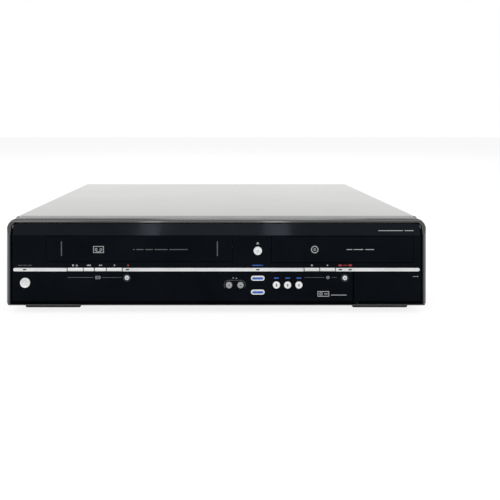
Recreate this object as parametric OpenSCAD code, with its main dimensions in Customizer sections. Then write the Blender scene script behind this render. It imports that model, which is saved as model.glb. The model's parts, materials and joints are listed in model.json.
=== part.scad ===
// Video recorder with a cassette deck, a disc drive and a hard disk in one case.
// Millimetres. X runs along the front, Y from the front to the rear, Z up.
// The origin lies on the surface that the feet stand on, under the middle of the case.

/* [Casing] */
// Overall width over the bezel
body_w = 435; // [432:1:460]
// Overall depth from the bezel's face to the tips of the rear sockets
body_d = 350; // [348:1:380]
// Height of the casing above its feet
body_h = 89; // [88:0.5:100]
// Height of the feet
foot_h = 8.5; // [6:0.5:20]
// How far the rear sockets stand out behind the rear panel
rear_reach = 9; // [8:0.5:12]
// Thickness of the steel sheet of the cover, base and rear panel
sheet_t = 1; // [0.8:0.1:1.2]
// How far the cover's sides stand in from the bezel's sides
cover_step = 1.2; // [0.8:0.1:2]
// How far the cover's top lies below the bezel's top
cover_drop = 0.5; // [0.2:0.1:1]
// Outer radius of the cover's two long bends
cover_bend_r = 3; // [2:0.5:6]
// Gap between sheets that slide past each other
sheet_gap = 0.3; // [0.2:0.1:0.6]
// Length of the ventilation slots in the cover's sides
vent_l = 20; // [12:1:26]
// Width of the ventilation slots
vent_w = 2.6; // [2:0.2:3.4]
// Distance from one ventilation slot to the next
vent_pitch = 7; // [6:0.5:10]
// Number of ventilation slots in one row
vent_count = 15; // [8:1:18]

/* [Feet] */
// Length of a foot along the case's width
foot_w = 64; // [40:1:70]
// Depth of a foot
foot_d = 26; // [20:1:34]
// Distance from the middle of a foot to the side of the case
foot_inset = 42.5; // [40:0.5:60]
// Distance from the bezel's face to the front feet
foot_setback = 20; // [16:1:40]

/* [Bezel] */
// Depth of the plastic bezel
bezel_d = 24; // [20:1:30]
// Wall of the bezel
bezel_wall = 2.5; // [2:0.1:3]
// Radius of the bezel's two upper corners
corner_r = 9; // [6:0.5:14]
// Radius of the edge between the bezel's face and its top
edge_r = 4; // [2:0.5:5]
// Width of the bezel's rim at the sides of the panel
rim_side = 4; // [3.4:0.1:6]
// Height of the bezel's rim above the panel
rim_top = 3.6; // [3:0.1:5]
// Height of the bezel's rim below the panel
rim_bottom = 1.2; // [1:0.1:2]
// Chamfer along the bezel's front edges
edge_chamfer = 2.3; // [1:0.1:3]
// Distance from the bezel's face back to the groove across its top
groove_y = 9; // [7:0.5:14]
// Width and depth of that groove
groove_w = 0.7; // [0.5:0.1:1]

/* [Front panel] */
// Wall of the glossy front panel
panel_t = 3; // [2.6:0.1:3.4]
// How far the panel's face lies behind the bezel's face
panel_recess = 0.8; // [0.6:0.1:1.2]
// Open joint between the panel's sides and the bezel
panel_gap_side = 2; // [1:0.1:3]
// Open joint between the panel's top and the bezel
panel_gap_top = 1.6; // [1:0.1:2.4]
// Height below the casing's top at which the front begins to lean back
crease_drop = 16.4; // [14:0.1:18]
// Angle by which the upper band leans back
lean = 18; // [8:1:24]
// Height of the bevel along the panel's lower edge
bevel_h = 4.2; // [3:0.1:5]
// Depth of the bevel along the panel's lower edge
bevel_d = 2; // [1:0.1:2.2]
// Gap round the doors, caps and flap in the panel
door_gap = 0.4; // [0.3:0.05:0.6]

/* [Accent strip] */
// Height of the silver strip's lower edge above the casing's bottom
strip_z = 35.4; // [34:0.1:38]
// Height of the silver strip
strip_h = 3.5; // [3:0.1:4.5]
// Distance from the strip's ends to the panel's ends
strip_inset = 1.1; // [1:0.1:4]
// Depth of the groove that holds the strip
strip_groove = 1; // [0.8:0.1:1.4]
// How far the strip stands out from the panel
strip_proud = 0.4; // [0.2:0.05:0.5]
// Distance from the panel's left end to the first cassette key
deck_keys_x = 56.9; // [50:0.1:60]
// Widths of the stop, rewind, forward and play keys of the cassette deck
stop_key_w = 16.8; // [12:0.1:18]
// Width of the rewind key
rewind_key_w = 11.4; // [9:0.1:12]
// Width of the fast-forward key
forward_key_w = 12.5; // [9:0.1:13]
// Width of the play key
play_key_w = 16.4; // [12:0.1:18]
// Distance from the panel's right end to the end of the last disc key
disc_keys_x = 88.4; // [84:0.1:92]
// Width of each of the two disc keys
disc_key_w = 16.2; // [12:0.1:17]
// Dark joint between neighbouring keys
key_joint = 0.9; // [0.7:0.05:1.2]
// Length of an indicator window
lens_w = 3.7; // [3:0.1:5]
// Height of an indicator window
lens_h = 1.3; // [1:0.1:1.8]

/* [Buttons] */
// Travel of every button and key
button_travel = 1.2; // [0.8:0.1:1.4]
// How far the buttons stand out from the panel
button_proud = 0.75; // [0.6:0.05:0.8]
// Gap between a button and its hole
button_gap = 0.35; // [0.3:0.05:0.5]
// Width of the flange that keeps a button behind the panel
flange_w = 0.9; // [0.7:0.1:1.2]
// Diameter of the standby button
standby_d = 10.2; // [8:0.1:12]
// Distance from the panel's left end to the standby button
standby_x = 13.2; // [12:0.1:16]
// Diameter of the tray's open and close button
open_d = 8.7; // [7:0.1:10]
// Diameter of the two record buttons
record_d = 4.8; // [4:0.1:6]
// Diameter of the two channel buttons
channel_d = 6.6; // [5.5:0.1:7.4]
// Distance between the two channel buttons
channel_pitch = 11.9; // [11:0.1:13]
// Diameter of the three selector buttons
selector_d = 7.3; // [6:0.1:8]
// Distance from one selector button to the next
selector_pitch = 11.65; // [11:0.05:13]
// Length of the two oval dubbing buttons
dubbing_w = 14; // [11:0.1:15]
// Height of the two oval dubbing buttons
dubbing_h = 4.9; // [4:0.1:6]
// Distance between the two oval dubbing buttons
dubbing_pitch = 14.4; // [13:0.1:15]

/* [Cassette deck] */
// Width of the video cassette that the deck takes
cassette_w = 188; // [186:1:190]
// Depth of the cassette
cassette_d = 104; // [102:1:106]
// Thickness of the cassette
cassette_h = 25; // [24:0.5:25.5]
// Width of the cassette door
door_w = 193.1; // [192:0.1:196]
// Height of the cassette door
door_h = 26.1; // [25.8:0.1:26.4]
// Share of the panel's free width that lies left of the cassette door
door_share = 0.423; // [0.4:0.001:0.44]
// Height of the door's lower edge above the casing's bottom
door_z = 45.7; // [45.4:0.1:45.9]
// Thickness of the cassette door
door_t = 2; // [1.8:0.1:2.4]
// Distance from the door's face back to its hinge pins
door_axis = 8; // [7.6:0.1:8.4]
// Angle by which the cassette door swings in
door_swing = 88; // [80:1:90]
// How far the cassette holder carries the cassette in
holder_travel = 40; // [34:1:42]
// How far the cassette holder then lowers the cassette
holder_drop = 21; // [18:0.5:22]
// Height of the deck plate above the casing's bottom
deck_z = 15; // [14:0.5:17]
// Thickness of the deck plate
deck_t = 1.6; // [1.2:0.1:2]
// Diameter of the video head drum
drum_d = 62; // [60:1:64]
// Angle by which the head drum leans
drum_lean = 5; // [3:0.5:6]
// Distance between the two reel tables
reel_pitch = 92; // [90:0.5:94]

/* [Disc drive] */
// Width of the front cap of the disc tray
cap_w = 146.9; // [144:0.1:148]
// Height of the front cap of the disc tray
cap_h = 26.8; // [26:0.1:27]
// Share of the panel's free width that lies right of the front cap
cap_share = 0.0892; // [0.08:0.0002:0.11]
// Height of the cap's lower edge above the casing's bottom
cap_z = 44.5; // [44.2:0.1:44.8]
// Width of the disc tray
tray_w = 132; // [130:1:136]
// Length of the disc tray
tray_l = 184; // [178:1:188]
// Thickness of the disc tray
tray_t = 4; // [3.4:0.1:4.6]
// Travel of the disc tray
tray_travel = 138; // [125:1:140]
// Diameter of the disc that the tray takes
disc_d = 120; // [120:1:121]
// Module of the tray's rack and its pinion
gear_module = 1; // [0.9:0.05:1.1]
// Teeth on the tray's pinion
pinion_teeth = 18; // [16:1:20]
// How far the traverse lifts the turntable to the disc
traverse_lift = 6; // [5:0.5:6.5]
// Travel of the laser pickup
pickup_travel = 36; // [30:1:37]

/* [Jack flap] */
// Width of the jack flap in front of the panel
flap_w = 70; // [66:0.5:72]
// Height of the jack flap
flap_h = 33.3; // [32:0.1:33.6]
// How far the flap reaches round the side of the case
flap_wrap = 14; // [10:0.5:18]
// Radius of the flap's hinged edge
hinge_r = 3; // [2.8:0.1:3.2]
// Radius of the flap's and the door's hinge pins
pin_r = 1.2; // [1:0.05:1.3]
// Running clearance of a pin in its hole
pin_gap = 0.05; // [0.03:0.01:0.1]

/* [Inside] */
// Height of the circuit boards above the casing's bottom
board_z = 8; // [6:0.5:10]
// Thickness of the circuit boards
board_t = 1.6; // [1.2:0.1:2]
// Length of the hard disk
disk_l = 147; // [146:0.5:148]
// Width of the hard disk
disk_w = 101.6; // [101:0.1:102]
// Height of the hard disk
disk_h = 26.1; // [20:0.1:26.1]
// Size of the square cooling fan
fan_w = 50; // [45:1:52]
// Depth of the cooling fan
fan_d = 15; // [10:1:16]
// Length of the tuner's can
tuner_l = 57; // [50:1:60]
// Width of the tuner's can
tuner_w = 22; // [18:1:24]
// Radius of a phono socket's sleeve
phono_r = 4.15; // [4:0.05:4.3]

/* [Hidden] */
$fn = 48;

// Reach of a cutting solid past the face that it cuts
cut = 1;

// ---- Casing levels ----
half_w = body_w / 2;
front_y = -body_d / 2;
rear_y = body_d / 2 - rear_reach;
base_z = foot_h;
top_z = foot_h + body_h;
crease_z = top_z - crease_drop;
seam_y = front_y + bezel_d;
// The bezel's bottom wall is short, so that the base reaches under the panel
sill_d = 12;

// ---- Panel levels ----
panel_y = front_y + panel_recess;
panel_back = panel_y + panel_t;
panel_half = half_w - rim_side - panel_gap_side;
panel_z0 = base_z + rim_bottom + sheet_gap;
panel_z1 = top_z - rim_top - panel_gap_top;
// The flange behind the panel that carries it
carrier_t = 2;
carrier_back = panel_back + carrier_t;

// ---- Cassette door, disc tray cap and jack flap ----
// Width that the door and the cap leave over
free_w = 2 * panel_half - door_w - cap_w;
door_x0 = -panel_half + door_share * free_w;
door_x1 = door_x0 + door_w;
door_z0 = base_z + door_z;
door_z1 = door_z0 + door_h;
door_axis_y = panel_y + door_axis;
door_axis_z = door_z1 + door_axis;
cassette_x = (door_x0 + door_x1) / 2;
cap_x1 = panel_half - cap_share * free_w;
cap_x0 = cap_x1 - cap_w;
cap_z0 = base_z + cap_z;
cap_z1 = cap_z0 + cap_h;
drive_x = (cap_x0 + cap_x1) / 2;
flap_x0 = panel_half - flap_w;
flap_z0 = base_z + rim_bottom + sheet_gap;
flap_z1 = flap_z0 + flap_h;
flap_axis_x = flap_x0 + hinge_r;
flap_axis_y = panel_y + hinge_r;

// ---- Strip and keys ----
strip_z0 = base_z + strip_z;
strip_z1 = strip_z0 + strip_h;
strip_mid = (strip_z0 + strip_z1) / 2;
strip_half = panel_half - strip_inset;
keys_x0 = -panel_half + deck_keys_x;
deck_marks = [
  keys_x0, keys_x0 + stop_key_w, keys_x0 + stop_key_w + rewind_key_w,
  keys_x0 + stop_key_w + rewind_key_w + forward_key_w,
  keys_x0 + stop_key_w + rewind_key_w + forward_key_w + play_key_w
];
disc_marks = [
  panel_half - disc_keys_x - 2 * disc_key_w,
  panel_half - disc_keys_x - disc_key_w,
  panel_half - disc_keys_x
];
strip_spans = [
  [-strip_half, deck_marks[0] - key_joint / 2],
  [deck_marks[4] + key_joint / 2, disc_marks[0] - key_joint / 2],
  [disc_marks[2] + key_joint / 2, strip_half]
];

// ---- Buttons: places of their middles ----
standby_at = [-panel_half + standby_x, base_z + 23.3];
middle_x = door_x1 + 0.644 * (cap_x0 - door_x1);
open_at = [middle_x, base_z + 56.5];
deck_record_at = [deck_marks[4] + record_d, base_z + 28.6];
disc_record_at = [disc_marks[2] + 9.9, base_z + 28.5];
channel_at = [middle_x - 23.85, base_z + 21];
dubbing_at = [middle_x, base_z + 21.1];
selector_at = [middle_x + 30.95, base_z + 21.1];
// Indicator windows, all on the strip
lens_xs = [
  standby_at[0] - 0.3, deck_record_at[0] + 0.6, middle_x, disc_record_at[0] - 4.8, disc_record_at[0] + 5.4
];
// The key board's switches, behind the buttons' stems
plunger_reach = 4;
stem_end = panel_back + 4.6;
switch_front = stem_end + button_travel + 0.2;
key_board_y = switch_front + plunger_reach;
switch_places = [
  standby_at, open_at, deck_record_at, disc_record_at,
  channel_at - [channel_pitch / 2, 0], channel_at + [channel_pitch / 2, 0],
  dubbing_at - [0, dubbing_pitch / 2], dubbing_at + [0, dubbing_pitch / 2],
  selector_at - [selector_pitch, 0], selector_at, selector_at + [selector_pitch, 0],
  [(deck_marks[0] + deck_marks[1]) / 2, strip_mid], [(deck_marks[1] + deck_marks[2]) / 2, strip_mid],
  [(deck_marks[2] + deck_marks[3]) / 2, strip_mid], [(deck_marks[3] + deck_marks[4]) / 2, strip_mid],
  [(disc_marks[0] + disc_marks[1]) / 2, strip_mid], [(disc_marks[1] + disc_marks[2]) / 2, strip_mid]
];

// ---- Cassette deck ----
deck_plate_z = base_z + deck_z;
deck_floor = deck_plate_z + deck_t;
// The door sweeps this far round its pins
door_sweep = sqrt(pow(door_h + door_axis, 2) + pow(door_axis, 2));
deck_y0 = door_axis_y + door_sweep + 1;
holder_gap = 0.5;
holder_t = 1.2;
holder_half = cassette_w / 2 + holder_gap + holder_t;
holder_z0 = door_z0 + 0.3;
holder_z1 = holder_z0 + cassette_h + 2 * holder_t;
holder_y0 = deck_y0 + 2;
holder_l = 60;
slider_half = holder_half + 1.3;
slider_t = 1.5;
bracket_half = slider_half + slider_t + 1;
bracket_t = 1.6;
// Depth of the tape transport behind the parked holder
transport_d = drum_d + 36;
deck_y1 = holder_y0 + holder_l + holder_travel + transport_d;
bracket_top = holder_z1 + 6;
reel_y = holder_y0 + holder_l + holder_travel - 52;
drum_at = [cassette_x - 4, deck_y1 - drum_d / 2 - 22];
drum_split = deck_floor + 26;
capstan_at = [cassette_x + 52, drum_at[1] - drum_d / 2 - 8];
pinch_at = [capstan_at[0] + 22, capstan_at[1] + 13];
capstan_r = 1.6;
roller_r = 6.5;

// ---- Disc drive ----
drive_z0 = base_z + 29.5;
drive_z1 = cap_z1 + 2;
drive_y0 = key_board_y + board_t + 2;
drive_y1 = drive_y0 + tray_l + 2;
drive_half = tray_w / 2 + 7;
drive_t = 2;
cap_t = 2.5;
tray_y0 = panel_y + cap_t;
tray_z0 = cap_z0 + 6;
tray_z1 = tray_z0 + tray_t;
disc_y = tray_y0 + 9 + disc_d / 2;
traverse_z0 = drive_z0 + drive_t + 1.4;
traverse_t = 3;
turntable_top = tray_z0 - 0.5;
// Height of the turntable's hub over the disc's seat
hub_h = 2.4;
pinion_r = gear_module * pinion_teeth / 2;
rack_x = drive_x - tray_w / 2 + 12;
pinion_at = [rack_x + pinion_r, drive_y0 + 14];
gear_z0 = tray_z0 - 4;
gear_z1 = tray_z0 - 0.6;

// ---- Rear ----
rear_face = rear_y - 1.5;
fan_x = half_w - 52;
fan_z = base_z + 56;
mains_at = [-half_w + 29, base_z + 20];
aerial_x = -half_w + 88;
scart_x = -half_w + 150;
phono_x = -half_w + 206;
video_x = -half_w + 262;
scart_zs = [base_z + 24, base_z + 50];
aerial_zs = [base_z + 22, base_z + 44];
phono_pitch = 14;

// ---- Helpers ----
function arc(x, y, r, a0, a1, n = 8) =
  [for (i = [0:n]) let (a = a0 + (a1 - a0) * i / n) [x + r * cos(a), y + r * sin(a)]];

function rounded(x0, x1, y0, y1, r) = concat(
  arc(x1 - r, y0 + r, r, -90, 0), arc(x1 - r, y1 - r, r, 0, 90),
  arc(x0 + r, y1 - r, r, 90, 180), arc(x0 + r, y0 + r, r, 180, 270));

function pill(x, y, w, h) = concat(
  arc(x + (w - h) / 2, y, h / 2, -90, 90, 14), arc(x - (w - h) / 2, y, h / 2, 90, 270, 14));

// Setback of the leaning band at a height
function leaning(z) = max(0, z - crease_z) * tan(lean);

module block(low, high) {
  translate(low) cube(high - low);
}

// Bar along X with its end outline given as [y, z] points
module bar_x(x0, x1, outline) {
  translate([x0, 0, 0]) rotate([90, 0, 90]) linear_extrude(height = x1 - x0) polygon(outline);
}

// Plate facing Y with its outline given as [x, z] points
module plate_y(y0, y1, outline) {
  translate([0, y1, 0]) rotate([90, 0, 0]) linear_extrude(height = y1 - y0) polygon(outline);
}

// Plate lying flat with its outline given as [x, y] points
module plate_z(z0, z1, outline) {
  translate([0, 0, z0]) linear_extrude(height = z1 - z0) polygon(outline);
}

// Block that reaches as far to either side of X = 0
module slab(half, y0, y1, z0, z1) {
  block([-half, y0, z0], [half, y1, z1]);
}

// Children and their mirror image in the plane X = 0
module both() {
  children();
  mirror([1, 0, 0]) children();
}

module rod_x(x0, x1, y, z, r) {
  translate([x0, y, z]) rotate([0, 90, 0]) cylinder(r = r, h = x1 - x0);
}

module rod_y(y0, y1, x, z, r) {
  translate([x, y1, z]) rotate([90, 0, 0]) cylinder(r = r, h = y1 - y0);
}

module rod_z(z0, z1, x, y, r) {
  translate([x, y, z0]) cylinder(r = r, h = z1 - z0);
}

// Solid turned about the Y axis, its profile given as [radius, distance behind the face]
module turned_y(x, y, z, profile) {
  translate([x, y, z]) rotate([-90, 0, 0]) rotate_extrude() polygon(profile);
}

// ---- Bezel ----
// Middle of the round edge between the leaning face and the top
edge_cy = front_y + (edge_r + (top_z - edge_r - crease_z) * sin(lean)) / cos(lean);

bezel_side = concat(
  [[seam_y, base_z], [front_y + edge_chamfer / 2, base_z], [front_y, base_z + edge_chamfer / 2],
  [front_y, crease_z]],
  arc(edge_cy, top_z - edge_r, edge_r, 180 - lean, 90),
  [[seam_y, top_z]]);

bezel_face = concat(
  [[half_w - edge_chamfer, base_z], [half_w, base_z + edge_chamfer]],
  arc(half_w - corner_r, top_z - corner_r, corner_r, 0, 90),
  arc(-half_w + corner_r, top_z - corner_r, corner_r, 90, 180),
  [[-half_w, base_z + edge_chamfer], [-half_w + edge_chamfer, base_z]]);

bezel_plan = [
  [-half_w + edge_chamfer, front_y], [half_w - edge_chamfer, front_y], [half_w, front_y + edge_chamfer],
  [half_w, seam_y], [-half_w, seam_y], [-half_w, front_y + edge_chamfer]];

module bezel_solid() {
  intersection() {
    plate_y(front_y, seam_y, bezel_face);
    bar_x(-half_w, half_w, bezel_side);
    plate_z(base_z, top_z, bezel_plan);
  }
}

// Outline of the opening in the bezel's face or of its inside, by its distances from the outer faces
function bezel_inside(side, top, bottom) = concat(
  [[half_w - side, base_z + bottom]],
  arc(half_w - side - corner_r / 2, top_z - top - corner_r / 2, corner_r / 2, 0, 90),
  arc(-half_w + side + corner_r / 2, top_z - top - corner_r / 2, corner_r / 2, 90, 180),
  [[-half_w + side, base_z + bottom]]);

// Inner flange that the panel rests on
carrier_z0 = base_z + bezel_wall - 0.5;
carrier_z1 = top_z - bezel_wall + 0.5;
carrier_side = [
  [panel_back, carrier_z0], [carrier_back, carrier_z0], [carrier_back, crease_z],
  [carrier_back + leaning(carrier_z1), carrier_z1], [panel_back + leaning(carrier_z1), carrier_z1],
  [panel_back, crease_z]];
carrier_edge = 5;

// Space that the flap and its wrap take out of the bezel's lower right corner
module flap_space(gap) {
  block([half_w - rim_side - panel_gap_side - gap, front_y - cut, flap_z0 - gap],
     [half_w + cut, front_y + flap_wrap + gap, flap_z1 + gap]);
}

module bezel_frame() color("#141416") {
  difference() {
    union() {
      difference() {
        bezel_solid();
        plate_y(front_y - cut, seam_y + cut, bezel_inside(rim_side, rim_top, rim_bottom));
        plate_y(front_y + sill_d / 2, seam_y + cut, bezel_inside(bezel_wall, bezel_wall, rim_bottom));
        block([-half_w - cut, front_y + sill_d, base_z - cut],
           [half_w + cut, seam_y + cut, base_z + bezel_wall]);
        block([-half_w + 2 * corner_r, front_y + groove_y, top_z - groove_w],
           [half_w - 2 * corner_r, front_y + groove_y + groove_w, top_z + cut]);
      }
      // Sill that thickens the bottom rim behind the panel
      block([-half_w + edge_chamfer, panel_back, base_z], [half_w - edge_chamfer, front_y + sill_d, base_z + bezel_wall]);
      difference() {
        bar_x(-half_w + bezel_wall - 0.3, half_w - bezel_wall + 0.3, carrier_side);
        block([-panel_half + carrier_edge, panel_back - cut, panel_z0 + carrier_edge],
           [panel_half - carrier_edge, seam_y, panel_z1 - 1]);
        // Clear behind the flap
        block([flap_x0 - 2, panel_back - cut, base_z + bezel_wall], [half_w, seam_y, flap_z1 + 1]);
      }
      // Tabs that lie on the base's floor and inside its sides
      for (x = half_w * [-0.85, -0.45, 0, 0.45, 0.85])
        block([x - 8, front_y + sill_d - 1, base_z + sheet_t], [x + 8, base_y0 + 8, base_z + bezel_wall]);
      both() {
        block([base_half - sheet_t - 2, seam_y - 6, base_z + 4], [base_half - sheet_t, seam_y + 12, base_z + 14]);
        block([base_half - sheet_t - 2, seam_y - 6, base_z + 4], [half_w - bezel_wall + 0.3, seam_y - 1, base_z + 14]);
      }
      // Ribs that stiffen the top
      for (x = half_w * [-0.6, -0.2, 0.2, 0.6])
        block([x - 0.8, seam_y - 8, top_z - bezel_wall - 5], [x + 0.8, seam_y - 6.5, top_z - bezel_wall + 0.3]);
    }
    flap_space(sheet_gap);
    // Socket of the flap's lower pin
    rod_z(base_z + bezel_wall - 2, base_z + bezel_wall + cut, flap_axis_x, flap_axis_y, pin_r + pin_gap);
  }
}

// ---- Front panel ----
function panel_section(t) = [
  [panel_y + bevel_d, panel_z0], [panel_y + t, panel_z0], [panel_y + t, crease_z],
  [panel_y + t + leaning(panel_z1), panel_z1], [panel_y + leaning(panel_z1), panel_z1],
  [panel_y, crease_z], [panel_y, panel_z0 + bevel_h]];

// Hole with round ends through the panel
module pill_hole(at, w, h, y0 = panel_y - cut, y1 = panel_back + cut) {
  plate_y(y0, y1, pill(at[0], at[1], w, h));
}

// Fine outline drawn round a group of buttons
module outline_groove(at, w, h) {
  difference() {
    plate_y(panel_y - cut, panel_y + 0.35, pill(at[0], at[1], w, h));
    plate_y(panel_y - 2 * cut, panel_y + 1, pill(at[0], at[1], w - 0.9, h - 0.9));
  }
}

// Lug behind the panel that holds one of the door's pins
lug_t = 3;
lug_gap = 0.4;
// Length of the door's spring along its pin, and half its wire
spring_l = 6;
spring_wire = 0.4;

module door_lug(x0) {
  lug_z0 = door_axis_z - 3;
  lug_z1 = panel_z1 - 1.5;
  difference() {
    bar_x(x0, x0 + lug_t, [
      [panel_back - 1 + leaning(lug_z0), lug_z0], [door_axis_y + 1, lug_z0], [door_axis_y + 3, lug_z0 + 2],
      [door_axis_y + 3, lug_z1], [panel_back - 1 + leaning(lug_z1), lug_z1]]);
    rod_x(x0 - cut, x0 + lug_t + cut, door_axis_y, door_axis_z, pin_r + pin_gap);
  }
}

// Bosses behind the panel that carry the key board
key_board_x1 = flap_x0 - 4;
key_post_z = panel_z0 + carrier_edge + 4;
key_posts = [for (x = [24 - panel_half, (key_board_x1 - panel_half) / 2 + 6, key_board_x1 - 12]) [x, key_post_z]];

module front_panel() color("#0d0d10") {
  difference() {
    bar_x(-panel_half, panel_half, panel_section(panel_t));
    // Cassette door and tray cap
    block([door_x0 - door_gap, panel_y - cut, door_z0 - door_gap],
       [door_x1 + door_gap, panel_back + cut, door_z1 + door_gap]);
    block([cap_x0 - door_gap, panel_y - cut, cap_z0 - door_gap],
       [cap_x1 + door_gap, panel_back + cut, cap_z1 + door_gap]);
    // Corner that the jack flap closes
    block([flap_x0 - door_gap, panel_y - cut, panel_z0 - cut],
       [panel_half + cut, panel_back + cut, flap_z1 + door_gap]);
    // Strip groove, key slots and button holes
    pill_hole([0, strip_mid], 2 * strip_half, strip_h, panel_y - cut, panel_y + strip_groove);
    for (marks = [[deck_marks[0], deck_marks[4]], [disc_marks[0], disc_marks[2]]])
      block([marks[0] - button_gap, panel_y - cut, strip_z0 - button_gap],
         [marks[1] + button_gap, panel_back + cut, strip_z1 + button_gap]);
    for (at = [concat(standby_at, standby_d), concat(open_at, open_d), concat(deck_record_at, record_d),
         concat(disc_record_at, record_d)])
      rod_y(panel_y - cut, panel_back + cut, at[0], at[1], at[2] / 2 + button_gap);
    for (side = [-1, 1]) {
      rod_y(panel_y - cut, panel_back + cut, channel_at[0] + side * channel_pitch / 2, channel_at[1],
         channel_d / 2 + button_gap);
      pill_hole(dubbing_at + [0, side * dubbing_pitch / 2], dubbing_w + 2 * button_gap,
           dubbing_h + 2 * button_gap);
    }
    for (step = [-1:1])
      rod_y(panel_y - cut, panel_back + cut, selector_at[0] + step * selector_pitch, selector_at[1],
         selector_d / 2 + button_gap);
    for (x = lens_xs)
      pill_hole([x, strip_mid], lens_w + 0.4, lens_h + 0.4);
    outline_groove(channel_at, channel_pitch + channel_d + 4.5, channel_d + 3.9);
    outline_groove(selector_at, 2 * selector_pitch + selector_d + 4, selector_d + 4);
    rod_y(panel_y - cut, panel_y + 0.5, standby_at[0], standby_at[1], standby_d / 2 + 1.4);
    // Socket of the flap's upper pin
    rod_z(flap_z1, flap_z1 + door_gap + 3, flap_axis_x, flap_axis_y, pin_r + pin_gap);
  }
  // Boss round the flap's upper pin
  difference() {
    block([flap_axis_x - 3, panel_back - 0.5, flap_z1 + door_gap], [flap_axis_x + 3, panel_back + 2.4, flap_z1 + door_gap + 4.5]);
    rod_z(flap_z1, flap_z1 + door_gap + 3, flap_axis_x, flap_axis_y, pin_r + pin_gap);
  }
  door_lug(door_x0 - lug_gap - lug_t);
  door_lug(door_x1 + lug_gap);
  for (at = key_posts)
    difference() {
      rod_y(panel_back - 0.5, key_board_y, at[0], at[1], 3);
      rod_y(panel_back + 2, key_board_y + cut, at[0], at[1], 1.2);
    }
  // Ribs under the two openings
  for (span = [[door_x0, door_x1, door_z0], [cap_x0, cap_x1, cap_z0]])
    block([span[0] - 1, panel_back - 0.5, span[2] - door_gap - 1.8], [span[1] + 1, panel_back + 2, span[2] - door_gap - 0.4]);
}

// ---- Accent strip and indicator windows ----
module accent_strip() color("#d8dadc") {
  difference() {
    intersection() {
      plate_y(panel_y - strip_proud, panel_y + strip_groove, pill(0, strip_mid, 2 * strip_half, strip_h));
      for (span = strip_spans)
        block([span[0], panel_y - cut, strip_z0 - cut], [span[1], panel_back, strip_z1 + cut]);
    }
    for (x = lens_xs)
      pill_hole([x, strip_mid], lens_w, lens_h);
  }
}

module indicator_lenses() color("#20242a") {
  for (x = lens_xs)
    plate_y(panel_y - strip_proud + 0.15, panel_back + 3, pill(x, strip_mid, lens_w, lens_h));
}

// ---- Cassette door ----
// Thin raised line near each end of the door
door_line_inset = 15.8;
door_line_h = 15;

module cassette_door() color("#0d0d10") {
  arm_t = 2;
  difference() {
    block([door_x0, panel_y, door_z0], [door_x1, panel_y + door_t, door_z1]);
    // Relief behind the lower edge, where the cassette pushes
    bar_x(door_x0 + 3, door_x1 - 3, [
      [panel_y + door_t - 0.6, door_z0 + 4], [panel_y + door_t + cut, door_z0 + 4],
      [panel_y + door_t + cut, door_z1 - 4], [panel_y + door_t - 0.6, door_z1 - 4]]);
  }
  for (x = [door_x0 + door_line_inset, door_x1 - door_line_inset])
    block([x - 0.5, panel_y - 0.3, (door_z0 + door_z1 - door_line_h) / 2],
       [x + 0.5, panel_y, (door_z0 + door_z1 + door_line_h) / 2]);
  for (side = [0, 1]) {
    x0 = side == 0 ? door_x0 : door_x1 - arm_t;
    // Arm from the plate up to its pin
    bar_x(x0, x0 + arm_t, concat(
      [[panel_y + door_t - 0.2, door_z1 - 10], [panel_y + door_t + 4, door_z1 - 6]],
      arc(door_axis_y, door_axis_z, 2, -30, 120),
      [[panel_back + 0.7 + leaning(door_z1 + 4), door_z1 + 4], [panel_back + 0.7, door_z1 - 0.6],
      [panel_y + door_t - 0.2, door_z1 - 2.5]]));
    // The left pin is longer, for the door's spring
    pin_x0 = side == 0 ? door_x0 - lug_gap - lug_t - spring_l : door_x1 - cut;
    pin_x1 = side == 0 ? door_x0 + cut : door_x1 + lug_gap + lug_t;
    rod_x(pin_x0, pin_x1, door_axis_y, door_axis_z, pin_r);
  }
}

// Coil round the door's left pin, with one leg against the panel and one towards the door
spring_turns = 5;
coil_r = pin_r + 2 * spring_wire;

// Half of the coil's scalloped profile, between two angles round each turn's wire
function scallops(turns, a0, a1) = [for (turn = turns) each
  arc(coil_r, (1 + 1.8 * turn) * spring_wire, spring_wire, a0, a1, 6)];

module door_spring() color("#b8babc") {
  last = spring_turns - 1;
  translate([door_x0 - lug_gap - lug_t - spring_l + 0.6, door_axis_y, door_axis_z]) {
    rotate([0, 90, 0]) rotate_extrude()
      polygon(concat(scallops([0:last], -60, 60), scallops([last:-1:0], 120, 240)));
    rod_z(-8, 0, spring_wire, coil_r, 0.9 * spring_wire);
    rod_z(-5, 0, (1 + 1.8 * last) * spring_wire, -coil_r, 0.9 * spring_wire);
  }
}

// ---- Disc tray's front cap ----
module tray_front() color("#0d0d10") {
  skirt = 3;
  block([cap_x0, panel_y, cap_z0], [cap_x1, tray_y0, cap_z1]);
  difference() {
    block([cap_x0 + 2, tray_y0, cap_z0 + 2], [cap_x1 - 2, tray_y0 + skirt, cap_z1 - 2]);
    block([cap_x0 + 3.5, tray_y0 - cut, cap_z0 + 3.5], [cap_x1 - 3.5, tray_y0 + skirt + cut, cap_z1 - 3.5]);
  }
  // Two clips that hold the cap on the tray
  for (x = [drive_x - tray_w / 2 + 14, drive_x + tray_w / 2 - 20])
    block([x, tray_y0, tray_z0 - 2], [x + 6, tray_y0 + 7, tray_z0]);
}

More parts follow.
